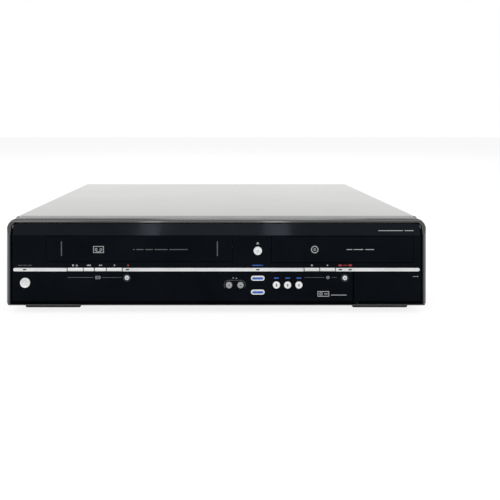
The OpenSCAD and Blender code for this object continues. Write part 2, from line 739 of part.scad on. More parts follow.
// ---- Jack flap ----
module jack_flap() color("#0d0d10") {
  rim_x = half_w - rim_side;
  barrel_z0 = base_z + bezel_wall + 0.3;
  // Skin in line with the panel
  difference() {
    intersection() {
      bar_x(flap_axis_x, panel_half, panel_section(panel_t - 0.4));
      block([flap_axis_x, panel_y - cut, panel_z0], [panel_half, panel_back, flap_z1]);
    }
    block([flap_axis_x - cut, panel_y + 1.4, panel_z0 - cut], [flap_axis_x + hinge_r, panel_back, barrel_z0]);
  }
  // Hinged edge and its pins
  rod_z(barrel_z0, flap_z1, flap_axis_x, flap_axis_y, hinge_r);
  rod_z(base_z + bezel_wall - 1.8, barrel_z0 + cut, flap_axis_x, flap_axis_y, pin_r);
  rod_z(flap_z1 - cut, flap_z1 + door_gap + 2.6, flap_axis_x, flap_axis_y, pin_r);
  // Floor of the joint line and the wrap round the side
  block([panel_half - 3, panel_y + panel_t - 0.4, barrel_z0], [rim_x + 1, panel_back + 1, flap_z1]);
  intersection() {
    bezel_solid();
    block([rim_x, front_y - cut, flap_z0], [half_w + cut, front_y + flap_wrap, flap_z1]);
  }
  // Finger rib inside
  block([rim_x - 12, panel_back - 0.4, flap_z0 + 8], [rim_x - 10.5, panel_back + 2.5, flap_z1 - 8]);
}

// ---- Top cover ----
cover_half = half_w - cover_step;
cover_top = top_z - cover_drop;
cover_z0 = base_z + 1;

function cover_outline(inset) = concat(
  [[cover_half - inset, cover_z0]],
  arc(cover_half - cover_bend_r, cover_top - cover_bend_r, cover_bend_r - inset, 0, 90),
  arc(-cover_half + cover_bend_r, cover_top - cover_bend_r, cover_bend_r - inset, 90, 180),
  [[-cover_half + inset, cover_z0]]);

screw_y = [seam_y + 60, rear_y - 40];
screw_z = base_z + 10;
rear_screw_x = [-half_w + 30, 0, half_w - 30];
screw_r = 1.5;
screw_head_r = 3.4;

module top_cover() color("#1b1b1d") {
  difference() {
    union() {
      difference() {
        plate_y(seam_y, rear_y, cover_outline(0));
        plate_y(seam_y - cut, rear_y + cut, concat(
          [[cover_half - sheet_t, cover_z0 - cut]], cover_outline(sheet_t),
          [[-cover_half + sheet_t, cover_z0 - cut]]));
      }
      // Front tongue that tucks under the bezel's top
      bar_x(-half_w + 2 * corner_r, half_w - 2 * corner_r, [
        [seam_y, cover_top - sheet_t / 2], [seam_y, top_z - bezel_wall - sheet_gap],
        [seam_y - 6, top_z - bezel_wall - sheet_gap], [seam_y - 6, top_z - bezel_wall - sheet_gap - sheet_t],
        [seam_y + sheet_t, top_z - bezel_wall - sheet_gap - sheet_t], [seam_y + sheet_t, cover_top - sheet_t / 2]]);
      // Rear edge folded down over the rear panel
      block([-cover_half + cover_bend_r, rear_y - sheet_t, cover_top - 9],
         [cover_half - cover_bend_r, rear_y, cover_top - sheet_t / 2]);
    }
    for (side = [-1, 1]) {
      for (row = [0, 1])
        for (i = [0:vent_count - 1])
          block([side * cover_half - 3, rear_y - 26 - i * vent_pitch - vent_w, base_z + 26 + row * (vent_l + 6)],
             [side * cover_half + 3, rear_y - 26 - i * vent_pitch, base_z + 26 + row * (vent_l + 6) + vent_l]);
      for (y = screw_y)
        rod_x(side * cover_half - 3, side * cover_half + 3, y, screw_z, screw_r + 0.1);
    }
    for (x = rear_screw_x)
      rod_y(rear_y - 3, rear_y + 3, x, cover_top - 5, screw_r + 0.1);
  }
}

// Pan head screw along an axis pointing out of the head
module screw(l) {
  rotate_extrude() polygon(concat(
    [[0, -l], [screw_r - 0.4, -l], [screw_r, -l + 0.8], [screw_r, 0], [screw_head_r, 0], [screw_head_r, 0.5]],
    arc(screw_head_r - 0.7, 0.5, 0.7, 0, 90, 4), [[0, 1.2]]));
}

module driver_slot() {
  for (turn = [0, 90])
    rotate([0, 0, turn]) block([-1.8, -0.35, 0.5], [1.8, 0.35, 2]);
}

module cover_screws() color("#303034") {
  for (y = screw_y)
    for (side = [-1, 1])
      translate([side * cover_half, y, screw_z]) rotate([0, side * 90, 0]) difference() {
        screw(4);
        driver_slot();
      }
  for (x = rear_screw_x)
    translate([x, rear_y, cover_top - 5]) rotate([-90, 0, 0]) difference() {
      screw(4);
      driver_slot();
    }
}

// ---- Base and rear panel ----
base_half = cover_half - sheet_t - sheet_gap;
base_y0 = front_y + sill_d + sheet_gap;
base_flange_h = 16;
foot_xs = [-half_w + foot_inset, half_w - foot_inset];
foot_ys = [front_y + foot_setback + foot_d / 2, rear_face - foot_d / 2 - 12];

// Long bead pressed up into the floor
module floor_bead(x0, x1, y) {
  bar_x(x0, x1, [[y - 5, base_z + sheet_t / 2], [y - 3, base_z + 3], [y + 3, base_z + 3], [y + 5, base_z + sheet_t / 2]]);
}

module floor_bead_hollow(x0, x1, y) {
  bar_x(x0 + 1, x1 - 1, [[y - 4.6, base_z - cut], [y - 2.4, base_z + 2.2], [y + 2.4, base_z + 2.2], [y + 4.6, base_z - cut]]);
}

bead_rows = [[-half_w + 60, -20, -66], [-half_w + 60, -20, 0], [60, half_w - 60, -66], [60, half_w - 60, 0]];

module base_chassis() color("#9a9c9e") {
  difference() {
    union() {
      block([-base_half, base_y0, base_z], [base_half, rear_face, base_z + sheet_t]);
      for (side = [-1, 1])
        block([side > 0 ? base_half - sheet_t : -base_half, seam_y + 1, base_z],
           [side > 0 ? base_half : -base_half + sheet_t, rear_face - 1, base_z + base_flange_h]);
      for (row = bead_rows)
        floor_bead(row[0], row[1], row[2]);
    }
    for (row = bead_rows)
      floor_bead_hollow(row[0], row[1], row[2]);
    for (side = [-1, 1])
      for (y = screw_y)
        rod_x(side * base_half - 3, side * base_half + 3, y, screw_z, screw_r + 0.1);
    for (i = [0:15])
      block([-60 + i * 8, 40, base_z - cut], [-57 + i * 8, 64, base_z + sheet_t + cut]);
  }
}

module foot(x, y) {
  end_slant = 3.2;
  difference() {
    plate_y(y - foot_d / 2, y + foot_d / 2, [
      [x - foot_w / 2 + end_slant, 0], [x + foot_w / 2 - end_slant, 0], [x + foot_w / 2 - 1, foot_h - 3],
      [x + foot_w / 2, foot_h - 3], [x + foot_w / 2, foot_h], [x - foot_w / 2, foot_h],
      [x - foot_w / 2, foot_h - 3], [x - foot_w / 2 + 1, foot_h - 3]]);
    // Hollows that lighten the moulding from below
    for (side = [-1, 1])
      block([x + side * 13 - 9, y - foot_d / 2 + 4, -cut], [x + side * 13 + 9, y + foot_d / 2 - 4, foot_h - 4]);
  }
}

module feet() color("#26262a") {
  for (x = foot_xs)
    for (y = foot_ys)
      foot(x, y);
}

// D-shaped outline of a video connector with its lower corners cut
function scart_outline(x, z, w, h) = [
  [x - w / 2, z - h / 2], [x + w / 2 - 4, z - h / 2], [x + w / 2, z - h / 2 + 4], [x + w / 2, z + h / 2],
  [x - w / 2, z + h / 2]];

scart_w = 47;
scart_h = 15.6;

module rear_panel() color("#a4a6a8") {
  panel_top = cover_top - sheet_t - sheet_gap;
  plate_y0 = rear_face - sheet_t;
  difference() {
    union() {
      plate_y(plate_y0, rear_face, [
        [-base_half, base_z + sheet_t], [base_half, base_z + sheet_t], [base_half, panel_top - cover_bend_r],
        [base_half - cover_bend_r, panel_top], [-base_half + cover_bend_r, panel_top],
        [-base_half, panel_top - cover_bend_r]]);
      block([-base_half + cover_bend_r, rear_face - 12, panel_top - sheet_t],
         [base_half - cover_bend_r, rear_face, panel_top]);
      for (side = [-1, 1])
        block([side > 0 ? base_half - sheet_t : -base_half, rear_face - 10, base_z + base_flange_h + 0.5],
           [side > 0 ? base_half : -base_half + sheet_t, rear_face, panel_top - cover_bend_r]);
    }
    block([mains_at[0] - 12.2, plate_y0 - cut, mains_at[1] - 8.7], [mains_at[0] + 12.2, rear_face + cut, mains_at[1] + 8.7]);
    for (z = aerial_zs)
      rod_y(plate_y0 - cut, rear_face + cut, aerial_x, z, 7);
    for (z = scart_zs)
      plate_y(plate_y0 - cut, rear_face + cut, scart_outline(scart_x, z, scart_w + 0.4, scart_h + 0.4));
    for (column = [-1:1])
      for (row = [0:3])
        rod_y(plate_y0 - cut, rear_face + cut, phono_x + column * phono_pitch, base_z + 20 + row * phono_pitch, 6);
    rod_y(plate_y0 - cut, rear_face + cut, video_x, base_z + 21, 7);
    block([video_x - 8, plate_y0 - cut, base_z + 36], [video_x + 8, rear_face + cut, base_z + 43]);
    // Fan grille: upright slots that fill a circle
    intersection() {
      rod_y(plate_y0 - cut, rear_face + cut, fan_x, fan_z, fan_w / 2 - 3);
      for (i = [-5:5])
        block([fan_x + i * 4 - 1.3, plate_y0 - 2 * cut, fan_z - fan_w], [fan_x + i * 4 + 1.3, rear_face + 2 * cut, fan_z + fan_w]);
    }
    for (x = rear_screw_x)
      rod_y(plate_y0 - cut, rear_face + cut, x, cover_top - 5, screw_r + 0.1);
  }
}

// ---- Buttons and keys ----
// Round button: domed cap, flange behind the panel and stem to its switch
module round_button(at, d) {
  flange_y = panel_t;
  profile = concat(
    [[0, -button_proud]], [[d / 2 - 1.2, -button_proud + 0.12]],
    arc(d / 2 - 0.5, -button_proud + 0.6, 0.5, -90, 0, 4),
    [[d / 2, flange_y], [d / 2 + flange_w, flange_y], [d / 2 + flange_w, flange_y + 1],
    [1.6, flange_y + 1], [1.6, stem_end - panel_y], [0, stem_end - panel_y]]);
  turned_y(at[0], panel_y, at[1], profile);
}

module standby_button() color("#c9cbcc") {
  difference() {
    round_button(standby_at, standby_d);
    // Dished middle
    turned_y(standby_at[0], panel_y - button_proud, standby_at[1], [
      [0, -cut], [standby_d / 2 - 1.3, -cut], [standby_d / 2 - 1.5, 0.25], [0, 0.45]]);
  }
}

module open_close_button() color("#d6d8da") round_button(open_at, open_d);
module deck_record_button() color("#d6d8da") round_button(deck_record_at, record_d);
module disc_record_button() color("#d6d8da") round_button(disc_record_at, record_d);
module channel_down_button() color("#a9abad") round_button(channel_at - [channel_pitch / 2, 0], channel_d);
module channel_up_button() color("#a9abad") round_button(channel_at + [channel_pitch / 2, 0], channel_d);
module selector_button_left() color("#e0e2e4") round_button(selector_at - [selector_pitch, 0], selector_d);
module selector_button_middle() color("#e0e2e4") round_button(selector_at, selector_d);
module selector_button_right() color("#e0e2e4") round_button(selector_at + [selector_pitch, 0], selector_d);

// Oval button with a window let into its face
module oval_button(at) {
  flange_y = panel_back;
  difference() {
    union() {
      plate_y(panel_y - button_proud, flange_y + 0.5, pill(at[0], at[1], dubbing_w, dubbing_h));
      plate_y(flange_y, flange_y + 1, pill(at[0], at[1], dubbing_w + 2 * flange_w, dubbing_h + 2 * flange_w));
      rod_y(flange_y, stem_end, at[0], at[1], 1.6);
    }
    plate_y(panel_y - button_proud - cut, panel_y - button_proud + 0.3,
        pill(at[0], at[1], dubbing_w - 2, dubbing_h - 2));
  }
}

module dubbing_button_upper() color("#e0e2e4") oval_button(dubbing_at + [0, dubbing_pitch / 2]);
module dubbing_button_lower() color("#e0e2e4") oval_button(dubbing_at - [0, dubbing_pitch / 2]);

// Key that continues the silver strip between two marks
module strip_key(x0, x1) {
  key_face = panel_y - strip_proud - 0.2;
  a = x0 + key_joint / 2;
  b = x1 - key_joint / 2;
  flange_y = panel_back;
  bar_x(a, b, [
    [key_face + 0.4, strip_z0], [flange_y + 0.5, strip_z0], [flange_y + 0.5, strip_z1], [key_face + 0.4, strip_z1],
    [key_face, strip_z1 - 0.4], [key_face, strip_z0 + 0.4]]);
  block([a, flange_y, strip_z0 - flange_w], [b, flange_y + 1, strip_z1 + flange_w]);
  rod_y(flange_y, stem_end, (x0 + x1) / 2, strip_mid, 1.6);
}

module deck_stop_key() color("#d8dadc") strip_key(deck_marks[0], deck_marks[1]);
module deck_rewind_key() color("#d8dadc") strip_key(deck_marks[1], deck_marks[2]);
module deck_forward_key() color("#d8dadc") strip_key(deck_marks[2], deck_marks[3]);
module deck_play_key() color("#d8dadc") strip_key(deck_marks[3], deck_marks[4]);
module disc_stop_key() color("#d8dadc") strip_key(disc_marks[0], disc_marks[1]);
module disc_play_key() color("#d8dadc") strip_key(disc_marks[1], disc_marks[2]);

// ---- Key board behind the panel ----
module key_board() color("#2f6b3c") {
  board_back = key_board_y + board_t;
  difference() {
    union() {
      block([-panel_half + 5, key_board_y, base_z + 5], [key_board_x1, board_back, door_z0 - 4]);
      // Tongue between the doors, behind the open button
      block([open_at[0] - 9, key_board_y, door_z0 - 5], [cap_x0 - 3, board_back, open_at[1] + 7]);
    }
    for (at = key_posts)
      rod_y(key_board_y - cut, board_back + cut, at[0], at[1], 1.5);
  }
  for (at = switch_places) {
    block([at[0] - 3, key_board_y - 3.2, at[1] - 3], [at[0] + 3, key_board_y, at[1] + 3]);
    rod_y(switch_front, key_board_y, at[0], at[1], 1.5);
  }
  // Plug header on the back
  block([door_x1 - 40, board_back - 0.2, base_z + 12], [door_x1 - 16, board_back + 6, base_z + 18]);
}

// ---- Jacks behind the flap ----
housing_x0 = flap_axis_x + 4;
housing_x1 = panel_half - 1;
housing_y0 = panel_back + 3;
housing_y1 = housing_y0 + 26;
housing_z0 = base_z + bezel_wall;
housing_z1 = drive_z0 - 1;
housing_t = 1.6;
jack_z = (housing_z0 + housing_z1) / 2 - 1;
jack_xs = [housing_x0 + 9, housing_x0 + 22, housing_x0 + 35];
svideo_x = housing_x0 + 50;

module jack_housing() color("#1a1a1c") {
  difference() {
    block([housing_x0, housing_y0, housing_z0], [housing_x1, housing_y1, housing_z1]);
    block([housing_x0 + housing_t, housing_y0 - cut, housing_z0 + housing_t],
       [housing_x1 - housing_t, housing_y1 - 2, housing_z1 - housing_t]);
    for (x = jack_xs)
      rod_y(housing_y0, housing_y1 + cut, x, jack_z, phono_r + 1.6);
    rod_y(housing_y0, housing_y1 + cut, svideo_x, jack_z, 6.2);
  }
}

// Phono socket facing along -Y or +Y: coloured collar, metal sleeve, hole for the plug's pin
module phono(x, y, z, way, l = 9) {
  collar_r = phono_r + 1.3;
  translate([x, y, z]) rotate([way > 0 ? -90 : 90, 0, 0]) rotate_extrude() polygon([
    [1.7, l], [phono_r - 0.4, l], [phono_r, l - 0.4], [phono_r, 1.6], [collar_r, 1.6], [collar_r, -8],
    [0, -8], [0, 1], [1.7, 1]]);
}

// Round four-pin video socket
module mini_din(x, y, z, way) {
  translate([x, y, z]) rotate([way > 0 ? -90 : 90, 0, 0]) difference() {
    rotate_extrude() polygon([
      [4.75, 0.6], [5.9, 0.6], [5.9, -8], [0, -8], [0, -1], [4, -1], [4, -5.5], [4.75, -5.5]]);
    for (side = [-1, 1])
      for (row = [-1, 1])
        translate([side * 1.7, row * 1.2, -5]) cylinder(r = 0.5, h = 6);
    translate([-0.7, -3.4, -5]) cube([1.4, 1.2, 6]);
  }
}

module front_jacks() color("#c8b040") {
  for (x = jack_xs)
    phono(x, housing_y1 - 2, jack_z, -1);
  mini_din(svideo_x, housing_y1 - 2, jack_z, -1);
  // Board against the back of the housing that they are soldered to
  block([housing_x0 + 1, housing_y1, housing_z0 + 1], [housing_x1 - 1, housing_y1 + board_t, housing_z1 - 1]);
}

// ---- Rear sockets ----
// Inside of the rear panel, which the sockets' mouldings lie against
panel_inside = rear_face - sheet_t;
board_low = base_z + board_z;
board_top = board_low + board_t;

module mains_inlet() color("#161618") {
  pin_pitch = 8.5;
  translate([mains_at[0], rear_face, mains_at[1]]) {
    difference() {
      union() {
        block([-12, -18, -8.5], [12, 0, 8.5]);
        plate_y(0, 1.4, rounded(-16, 16, -11, 11, 3));
      }
      // Recess for the two-pole plug
      both() rod_y(-12, 3, pin_pitch / 2, 0, 4.3);
      slab(pin_pitch / 2, -12, 3, -3.4, 3.4);
    }
    both() rod_y(-12.5, -3, pin_pitch / 2, 0, 1.2);
    // Soldering tags
    both() block([3.4, -22, -1.6], [4.2, -17.5, 1.6]);
  }
}

module aerial_sockets() color("#c6c8ca") {
  // Can of the tuner on the main board, with its two necks
  block([aerial_x - tuner_w / 2, panel_inside - tuner_l, board_top],
     [aerial_x + tuner_w / 2, panel_inside, aerial_zs[1] + tuner_w / 2 + 1]);
  difference() {
    union() {
      rod_y(panel_inside - cut, rear_face + 7.5, aerial_x, aerial_zs[1], 6.4);
      rod_y(panel_inside - cut, rear_face + 7.5, aerial_x, aerial_zs[0], 4.75);
    }
    rod_y(rear_face, rear_face + 9, aerial_x, aerial_zs[1], 4.8);
    rod_y(rear_face, rear_face + 9, aerial_x, aerial_zs[0], 4.1);
  }
  difference() {
    rod_y(rear_face - 0.5, rear_face + 6, aerial_x, aerial_zs[1], 2);
    rod_y(rear_face + 1, rear_face + 7, aerial_x, aerial_zs[1], 1.2);
  }
  rod_y(rear_face - 0.5, rear_face + 6.5, aerial_x, aerial_zs[0], 1.15);
}

module scart(z) {
  core_z = 6.4;
  translate([scart_x, rear_face, z]) difference() {
    union() {
      plate_y(-20, 1, scart_outline(0, 0, scart_w, scart_h));
      plate_y(-sheet_t - 3, -sheet_t, scart_outline(0, 0, scart_w + 5, scart_h + 4));
    }
    difference() {
      plate_y(-11, 2, scart_outline(0, 0, scart_w - 2, scart_h - 2));
      slab(20.5, -12, 0, -core_z / 2, core_z / 2);
    }
    // Contact slots in two rows
    for (i = [0:9])
      for (row = [-1, 1])
        block([-18.4 + i * 3.8 + (row + 1) * 0.95, -6, row * 1.6 - 0.4],
           [-16.2 + i * 3.8 + (row + 1) * 0.95, 2, row * 1.6 + 0.4]);
  }
}

module scart_sockets() color("#1c1c1e") {
  for (z = scart_zs)
    scart(z);
  // Back that joins the two and stands on the main board
  translate([scart_x, rear_face, 0]) slab(18, -19, -12, board_top, scart_zs[1]);
}

module phono_sockets() color("#c8b040") {
  for (column = [-1:1])
    for (row = [0:3])
      phono(phono_x + column * phono_pitch, rear_face, base_z + 20 + row * phono_pitch, 1, rear_reach + 1.5);
  // Moulding behind the sockets
  translate([phono_x, 0, 0])
    slab(phono_pitch + 6.5, rear_face - 12, panel_inside, board_top, base_z + 26.5 + 3 * phono_pitch);
}

module video_sockets() color("#1c1c1e") {
  din_z = base_z + 21;
  hdmi_z = base_z + 39.5;
  mini_din(video_x, rear_face, din_z, 1);
  translate([video_x, rear_face, 0]) {
    // Flat digital video socket with its tongue
    difference() {
      plate_y(-11, 0.8, [
        [-5.5, hdmi_z - 2.9], [5.5, hdmi_z - 2.9], [7.6, hdmi_z - 0.8], [7.6, hdmi_z + 2.9],
        [-7.6, hdmi_z + 2.9], [-7.6, hdmi_z - 0.8]]);
      plate_y(-9, 2, [
        [-5, hdmi_z - 2.2], [5, hdmi_z - 2.2], [6.9, hdmi_z - 0.4], [6.9, hdmi_z + 2.2],
        [-6.9, hdmi_z + 2.2], [-6.9, hdmi_z - 0.4]]);
    }
    slab(5.5, -9.5, -1, hdmi_z - 0.1, hdmi_z + 0.9);
    // Carrier of both, on the main board
    difference() {
      slab(9, -12, -sheet_t, board_top, hdmi_z + 5);
      rod_y(-8, 0, 0, din_z, 5.5);
      slab(7.2, -10.5, 0, hdmi_z - 2.5, hdmi_z + 2.5);
    }
  }
}

// ---- Cooling fan ----
fan_y1 = panel_inside;
fan_y0 = fan_y1 - fan_d;
fan_r = fan_w / 2 - 2;
hub_r = fan_w / 5;

module fan_frame() color("#1a1a1c") {
  translate([fan_x, 0, fan_z]) {
    difference() {
      plate_y(fan_y0, fan_y1, rounded(-fan_w / 2, fan_w / 2, -fan_w / 2, fan_w / 2, 3));
      rod_y(fan_y0 - cut, fan_y1 + cut, 0, 0, fan_r);
      both()
        for (dz = [-1, 1])
          rod_y(fan_y0 - cut, fan_y1 + cut, fan_w / 2 - 4.5, dz * (fan_w / 2 - 4.5), 1.7);
    }
    // Motor seat held by four struts, with its axle
    rod_y(fan_y1 - 3, fan_y1, 0, 0, hub_r);
    for (turn = [0:3])
      rotate([0, 20 + turn * 90, 0]) block([hub_r - 1, fan_y1 - 2.5, -1.2], [fan_r + 1, fan_y1, 1.2]);
    rod_y(fan_y0 + 2, fan_y1 - 1, 0, 0, 1);
  }
}

module fan_rotor() color("#202022") {
  blade_count = 7;
  translate([fan_x, 0, fan_z]) difference() {
    union() {
      rod_y(fan_y0 + 0.8, fan_y1 - 3.6, 0, 0, hub_r);
      intersection() {
        for (i = [0:blade_count - 1])
          translate([0, (fan_y0 + fan_y1) / 2 - 1, 0]) rotate([0, i * 360 / blade_count, 0])
            rotate([38, 0, 0]) block([hub_r - 2, -6, -0.6], [fan_r + 2, 6, 0.6]);
        rod_y(fan_y0 + 1, fan_y1 - 4, 0, 0, fan_r - 0.8);
      }
    }
    rod_y(fan_y0 + 1.6, fan_y1, 0, 0, 1 + pin_gap);
  }
}

// ---- Cassette deck: the modules that lie in its middle use X = 0 there ----
holder_pin_y = [holder_y0 + 12, holder_y0 + 48];
holder_pin_z = holder_z0 + 8;
holder_pin_r = 1.5;
pin_play = 0.1;
slider_z0 = holder_pin_z - holder_drop - 8;
slider_stud_z = slider_z0 + 3;
slider_stud_y = [holder_y0 + 8, holder_y0 + holder_l - 8];
slider_stud_r = 1.5;
holder_end = holder_y0 + holder_l + holder_travel;
deck_half = bracket_half + bracket_t;

// Side bracket, whose slots have the L shape of the holder's path
module deck_bracket() {
  difference() {
    bar_x(bracket_half, deck_half, [
      [deck_y0 + 2, deck_plate_z], [holder_end + 6, deck_plate_z], [holder_end + 6, bracket_top - 14],
      [holder_end - 8, bracket_top], [deck_y0 + 8, bracket_top], [deck_y0 + 2, bracket_top - 8]]);
    for (y = holder_pin_y) {
      block([bracket_half - cut, y - 2.2, holder_pin_z - 2.2], [deck_half + cut, y + holder_travel + 2.2, holder_pin_z + 2.2]);
      block([bracket_half - cut, y + holder_travel - 2.2, holder_pin_z - holder_drop - 2.2],
         [deck_half + cut, y + holder_travel + 2.2, holder_pin_z]);
    }
    // Straight slot for the slider's own studs
    block([bracket_half - cut, slider_stud_y[0] - slider_stud_r - 0.3, slider_stud_z - slider_stud_r - pin_play],
       [deck_half + cut, slider_stud_y[1] + holder_travel + slider_stud_r + 0.3, slider_stud_z + slider_stud_r + pin_play]);
  }
}

module deck_frame() color("#b4b6b8") {
  capstan_x = capstan_at[0] - cassette_x;
  pinch_x = pinch_at[0] - cassette_x;
  guide_y = drum_at[1] - 2;
  bearing_top = deck_floor + 6;
  translate([cassette_x, 0, 0]) {
    difference() {
      union() {
        slab(deck_half, deck_y0 + 2, deck_y1, deck_plate_z, deck_floor);
        // Folded front and rear edges
        for (y = [deck_y0 + 2, deck_y1 - deck_t])
          slab(deck_half - 14, y, y + deck_t, deck_plate_z - 6, deck_plate_z + 0.2);
        // Bosses under the reel tables and the capstan's bearing
        both() rod_z(deck_plate_z, deck_floor + 0.6 - pin_gap, reel_pitch / 2, reel_y, 6);
        rod_z(deck_plate_z - 1, bearing_top, capstan_x, capstan_at[1], 4);
      }
      both() rod_z(deck_plate_z - cut, deck_floor + 2, reel_pitch / 2, reel_y, 3 + pin_gap);
      rod_z(deck_plate_z - 2, bearing_top + cut, capstan_x, capstan_at[1], capstan_r + pin_gap);
      // Loading slots along which the guide posts draw the tape
      both() plate_z(deck_plate_z - cut, deck_floor + cut, [
        [28, reel_y + 34], [32, reel_y + 34], [47, guide_y], [43, guide_y]]);
      // Windows that lighten the plate
      both() block([24, deck_y0 + 12, deck_plate_z - cut], [reel_pitch - 12, reel_y - 26, deck_floor + cut]);
    }
    both() {
      deck_bracket();
      // Legs down to the base
      for (y = [deck_y0 + 12, deck_y1 - 10])
        rod_z(base_z + sheet_t, deck_plate_z + 0.2, deck_half - 10, y, 4);
      // Guide posts at the ends of the loading slots, with a flange at each end of the roller
      rod_z(deck_plate_z, deck_floor + 27, 45, guide_y, 1.2);
      rod_z(deck_plate_z, deck_floor + 26, 45, guide_y, 2.4);
      for (z = [deck_floor + 5, deck_floor + 24])
        rod_z(z, z + 1.2, 45, guide_y, 3.4);
      rod_z(deck_plate_z, deck_floor + 22, 80, capstan_at[1] + 2, 2);
      // Erase head on one side, sound head on the other
      block([66, guide_y - 14, deck_plate_z], [72, guide_y - 4, deck_floor + 20]);
    }
    rod_z(deck_plate_z, deck_floor + 10, pinch_x, pinch_at[1], 1.5);
    rod_z(deck_plate_z, deck_floor + 1.5 - pin_gap, pinch_x, pinch_at[1], 3);
    // Loading motor with its worm
    rod_y(deck_y1 - 52, deck_y1 - 20, 22 - deck_half, deck_floor + 12.5, 12);
    rod_y(deck_y1 - 62, deck_y1 - 51, 22 - deck_half, deck_floor + 12.5, 3);
    block([12 - deck_half, deck_y1 - 50, deck_plate_z], [32 - deck_half, deck_y1 - 22, deck_floor + 3]);
  }
}

module holder_slider() color("#c6c8ca") {
  z1 = holder_z1 + 3;
  x1 = slider_half + slider_t;
  pin_slot = holder_pin_r + pin_play;
  translate([cassette_x, 0, 0]) {
    both() {
      difference() {
        block([slider_half, holder_y0 + 4, slider_z0], [x1, holder_y0 + holder_l - 4, z1]);
        for (y = holder_pin_y)
          block([slider_half - cut, y - pin_slot, holder_pin_z - holder_drop - pin_slot], [x1 + cut, y + pin_slot, holder_pin_z + pin_slot]);
        block([slider_half - cut, holder_y0 + 20, slider_z0 + 8], [x1 + cut, holder_y0 + holder_l - 20, z1 - 12]);
      }
      for (y = slider_stud_y)
        rod_x(x1 - 0.2, x1 + bracket_t + 1.2, y, slider_stud_z, slider_stud_r);
    }
    // Bridge that joins the two sides above the holder
    slab(x1, holder_y0 + holder_l - 16, holder_y0 + holder_l - 4, z1 - 0.2, z1 + 1.4);
  }
}

module cassette_holder() color("#d0d2d4") {
  inner = cassette_w / 2 + holder_gap;
  wall = inner + holder_t;
  lip = 9;
  holder_y1 = holder_y0 + holder_l;
  translate([cassette_x, 0, 0]) {
    both() {
      // Side wall, with a lip under the cassette and a flared mouth
      block([inner, holder_y0, holder_z0], [wall, holder_y1, holder_z1]);
      block([inner - lip, holder_y0, holder_z0], [inner + holder_t / 2, holder_y1, holder_z0 + holder_t]);
      for (y = holder_pin_y)
        rod_x(wall - 0.2, wall + 2.6, y, holder_pin_z, holder_pin_r);
    }
    // Roof with two large windows, each crossed by a press spring
    difference() {
      slab(inner + holder_t / 2, holder_y0, holder_y1, holder_z1 - holder_t, holder_z1);
      both() block([14, holder_y0 + 14, holder_z0], [70, holder_y1 - 14, holder_z1 + cut]);
    }
    both() bar_x(40, 46, [
      [holder_y0 + 13, holder_z1 - 0.6], [holder_y0 + 13, holder_z1 - 1.1], [holder_y1 - 26, holder_z1 - 1.6],
      [holder_y1 - 13, holder_z1 - 1.1], [holder_y1 - 13, holder_z1 - 0.6], [holder_y1 - 26, holder_z1 - 1.1]]);
    // Stop against the cassette's rear edge
    slab(inner + 0.2, holder_y1 - holder_t, holder_y1, holder_z1 - 12, holder_z1);
  }
}

// Reel table: geared rim, flange and a spindle with three ribs
module reel_table(x) {
  spindle_top = deck_floor + 19;
  translate([x, reel_y, 0]) {
    rotate_extrude() polygon([
      [0, deck_floor + 0.6], [19, deck_floor + 0.6], [19, deck_floor + 3.6], [21, deck_floor + 3.6],
      [21, deck_floor + 5], [11, deck_floor + 5], [10, deck_floor + 6.5], [5, deck_floor + 6.5],
      [5, spindle_top - 3], [3, spindle_top], [0, spindle_top]]);
    for (turn = [0:2])
      rotate([0, 0, turn * 120]) block([3, -0.8, deck_floor + 5], [6.6, 0.8, spindle_top - 4]);
    translate([0, 0, deck_plate_z - 3]) cylinder(r = 3, h = deck_t + 4.2);
  }
}

module supply_reel() color("#e6e6e2") reel_table(cassette_x - reel_pitch / 2);
module take_up_reel() color("#e6e6e2") reel_table(cassette_x + reel_pitch / 2);

// Both halves of the head drum stand on one leaning axis
module on_drum_axis() {
  translate([drum_at[0], drum_at[1], drum_split]) rotate([0, drum_lean, 0]) children();
}

module drum_base() color("#a8aaac") {
  drum_shaft_r = 3;
  on_drum_axis() {
    difference() {
      translate([0, 0, -20]) cylinder(r = drum_d / 2, h = 20, $fn = 96);
      // Step that guides the tape's lower edge
      difference() {
        translate([0, 0, -14]) cylinder(r = drum_d / 2 + 1, h = 14 + cut);
        translate([0, 0, -14 - cut]) cylinder(r = drum_d / 2 - 0.6, h = 16 + cut, $fn = 96);
      }
    }
    translate([0, 0, -0.5]) cylinder(r = drum_shaft_r, h = 16);
  }
  // Foot that carries the leaning drum on the deck plate
  rod_z(deck_floor, drum_split - 16, drum_at[0], drum_at[1], drum_d / 2 - 8);
}

module head_drum() color("#d6d8da") {
  rim = drum_d / 2;
  on_drum_axis() difference() {
    rotate_extrude($fn = 96) polygon([
      [0, 0.4], [rim - 0.6, 0.4], [rim - 0.6, 16], [rim - 2, 17.4], [14, 17.4], [14, 20], [12, 21.4], [0, 21.4]]);
    translate([0, 0, -cut]) cylinder(r = 3 + pin_gap, h = 17);
    // Windows of the four heads
    for (turn = [0:3])
      rotate([0, 0, turn * 90]) block([rim - 4, -2.5, 0], [rim + 2, 2.5, 2.4]);
    // Balance holes in the top
    for (turn = [0:5])
      rotate([0, 0, turn * 60]) translate([20, 0, 14]) cylinder(r = 2.2, h = 5, $fn = 24);
  }
}

module capstan() color("#c0c2c4") {
  // Shaft above the deck and flywheel below it
  rod_z(base_z + 6, deck_floor + 34, capstan_at[0], capstan_at[1], capstan_r);
  translate([capstan_at[0], capstan_at[1], base_z]) rotate_extrude() polygon([
    [0, 6.5], [22, 6.5], [22, 8], [21, 9], [22, 10], [22, 12], [9, 12], [9, 10.5], [4, 10.5], [4, 12.5], [0, 12.5]]);
}

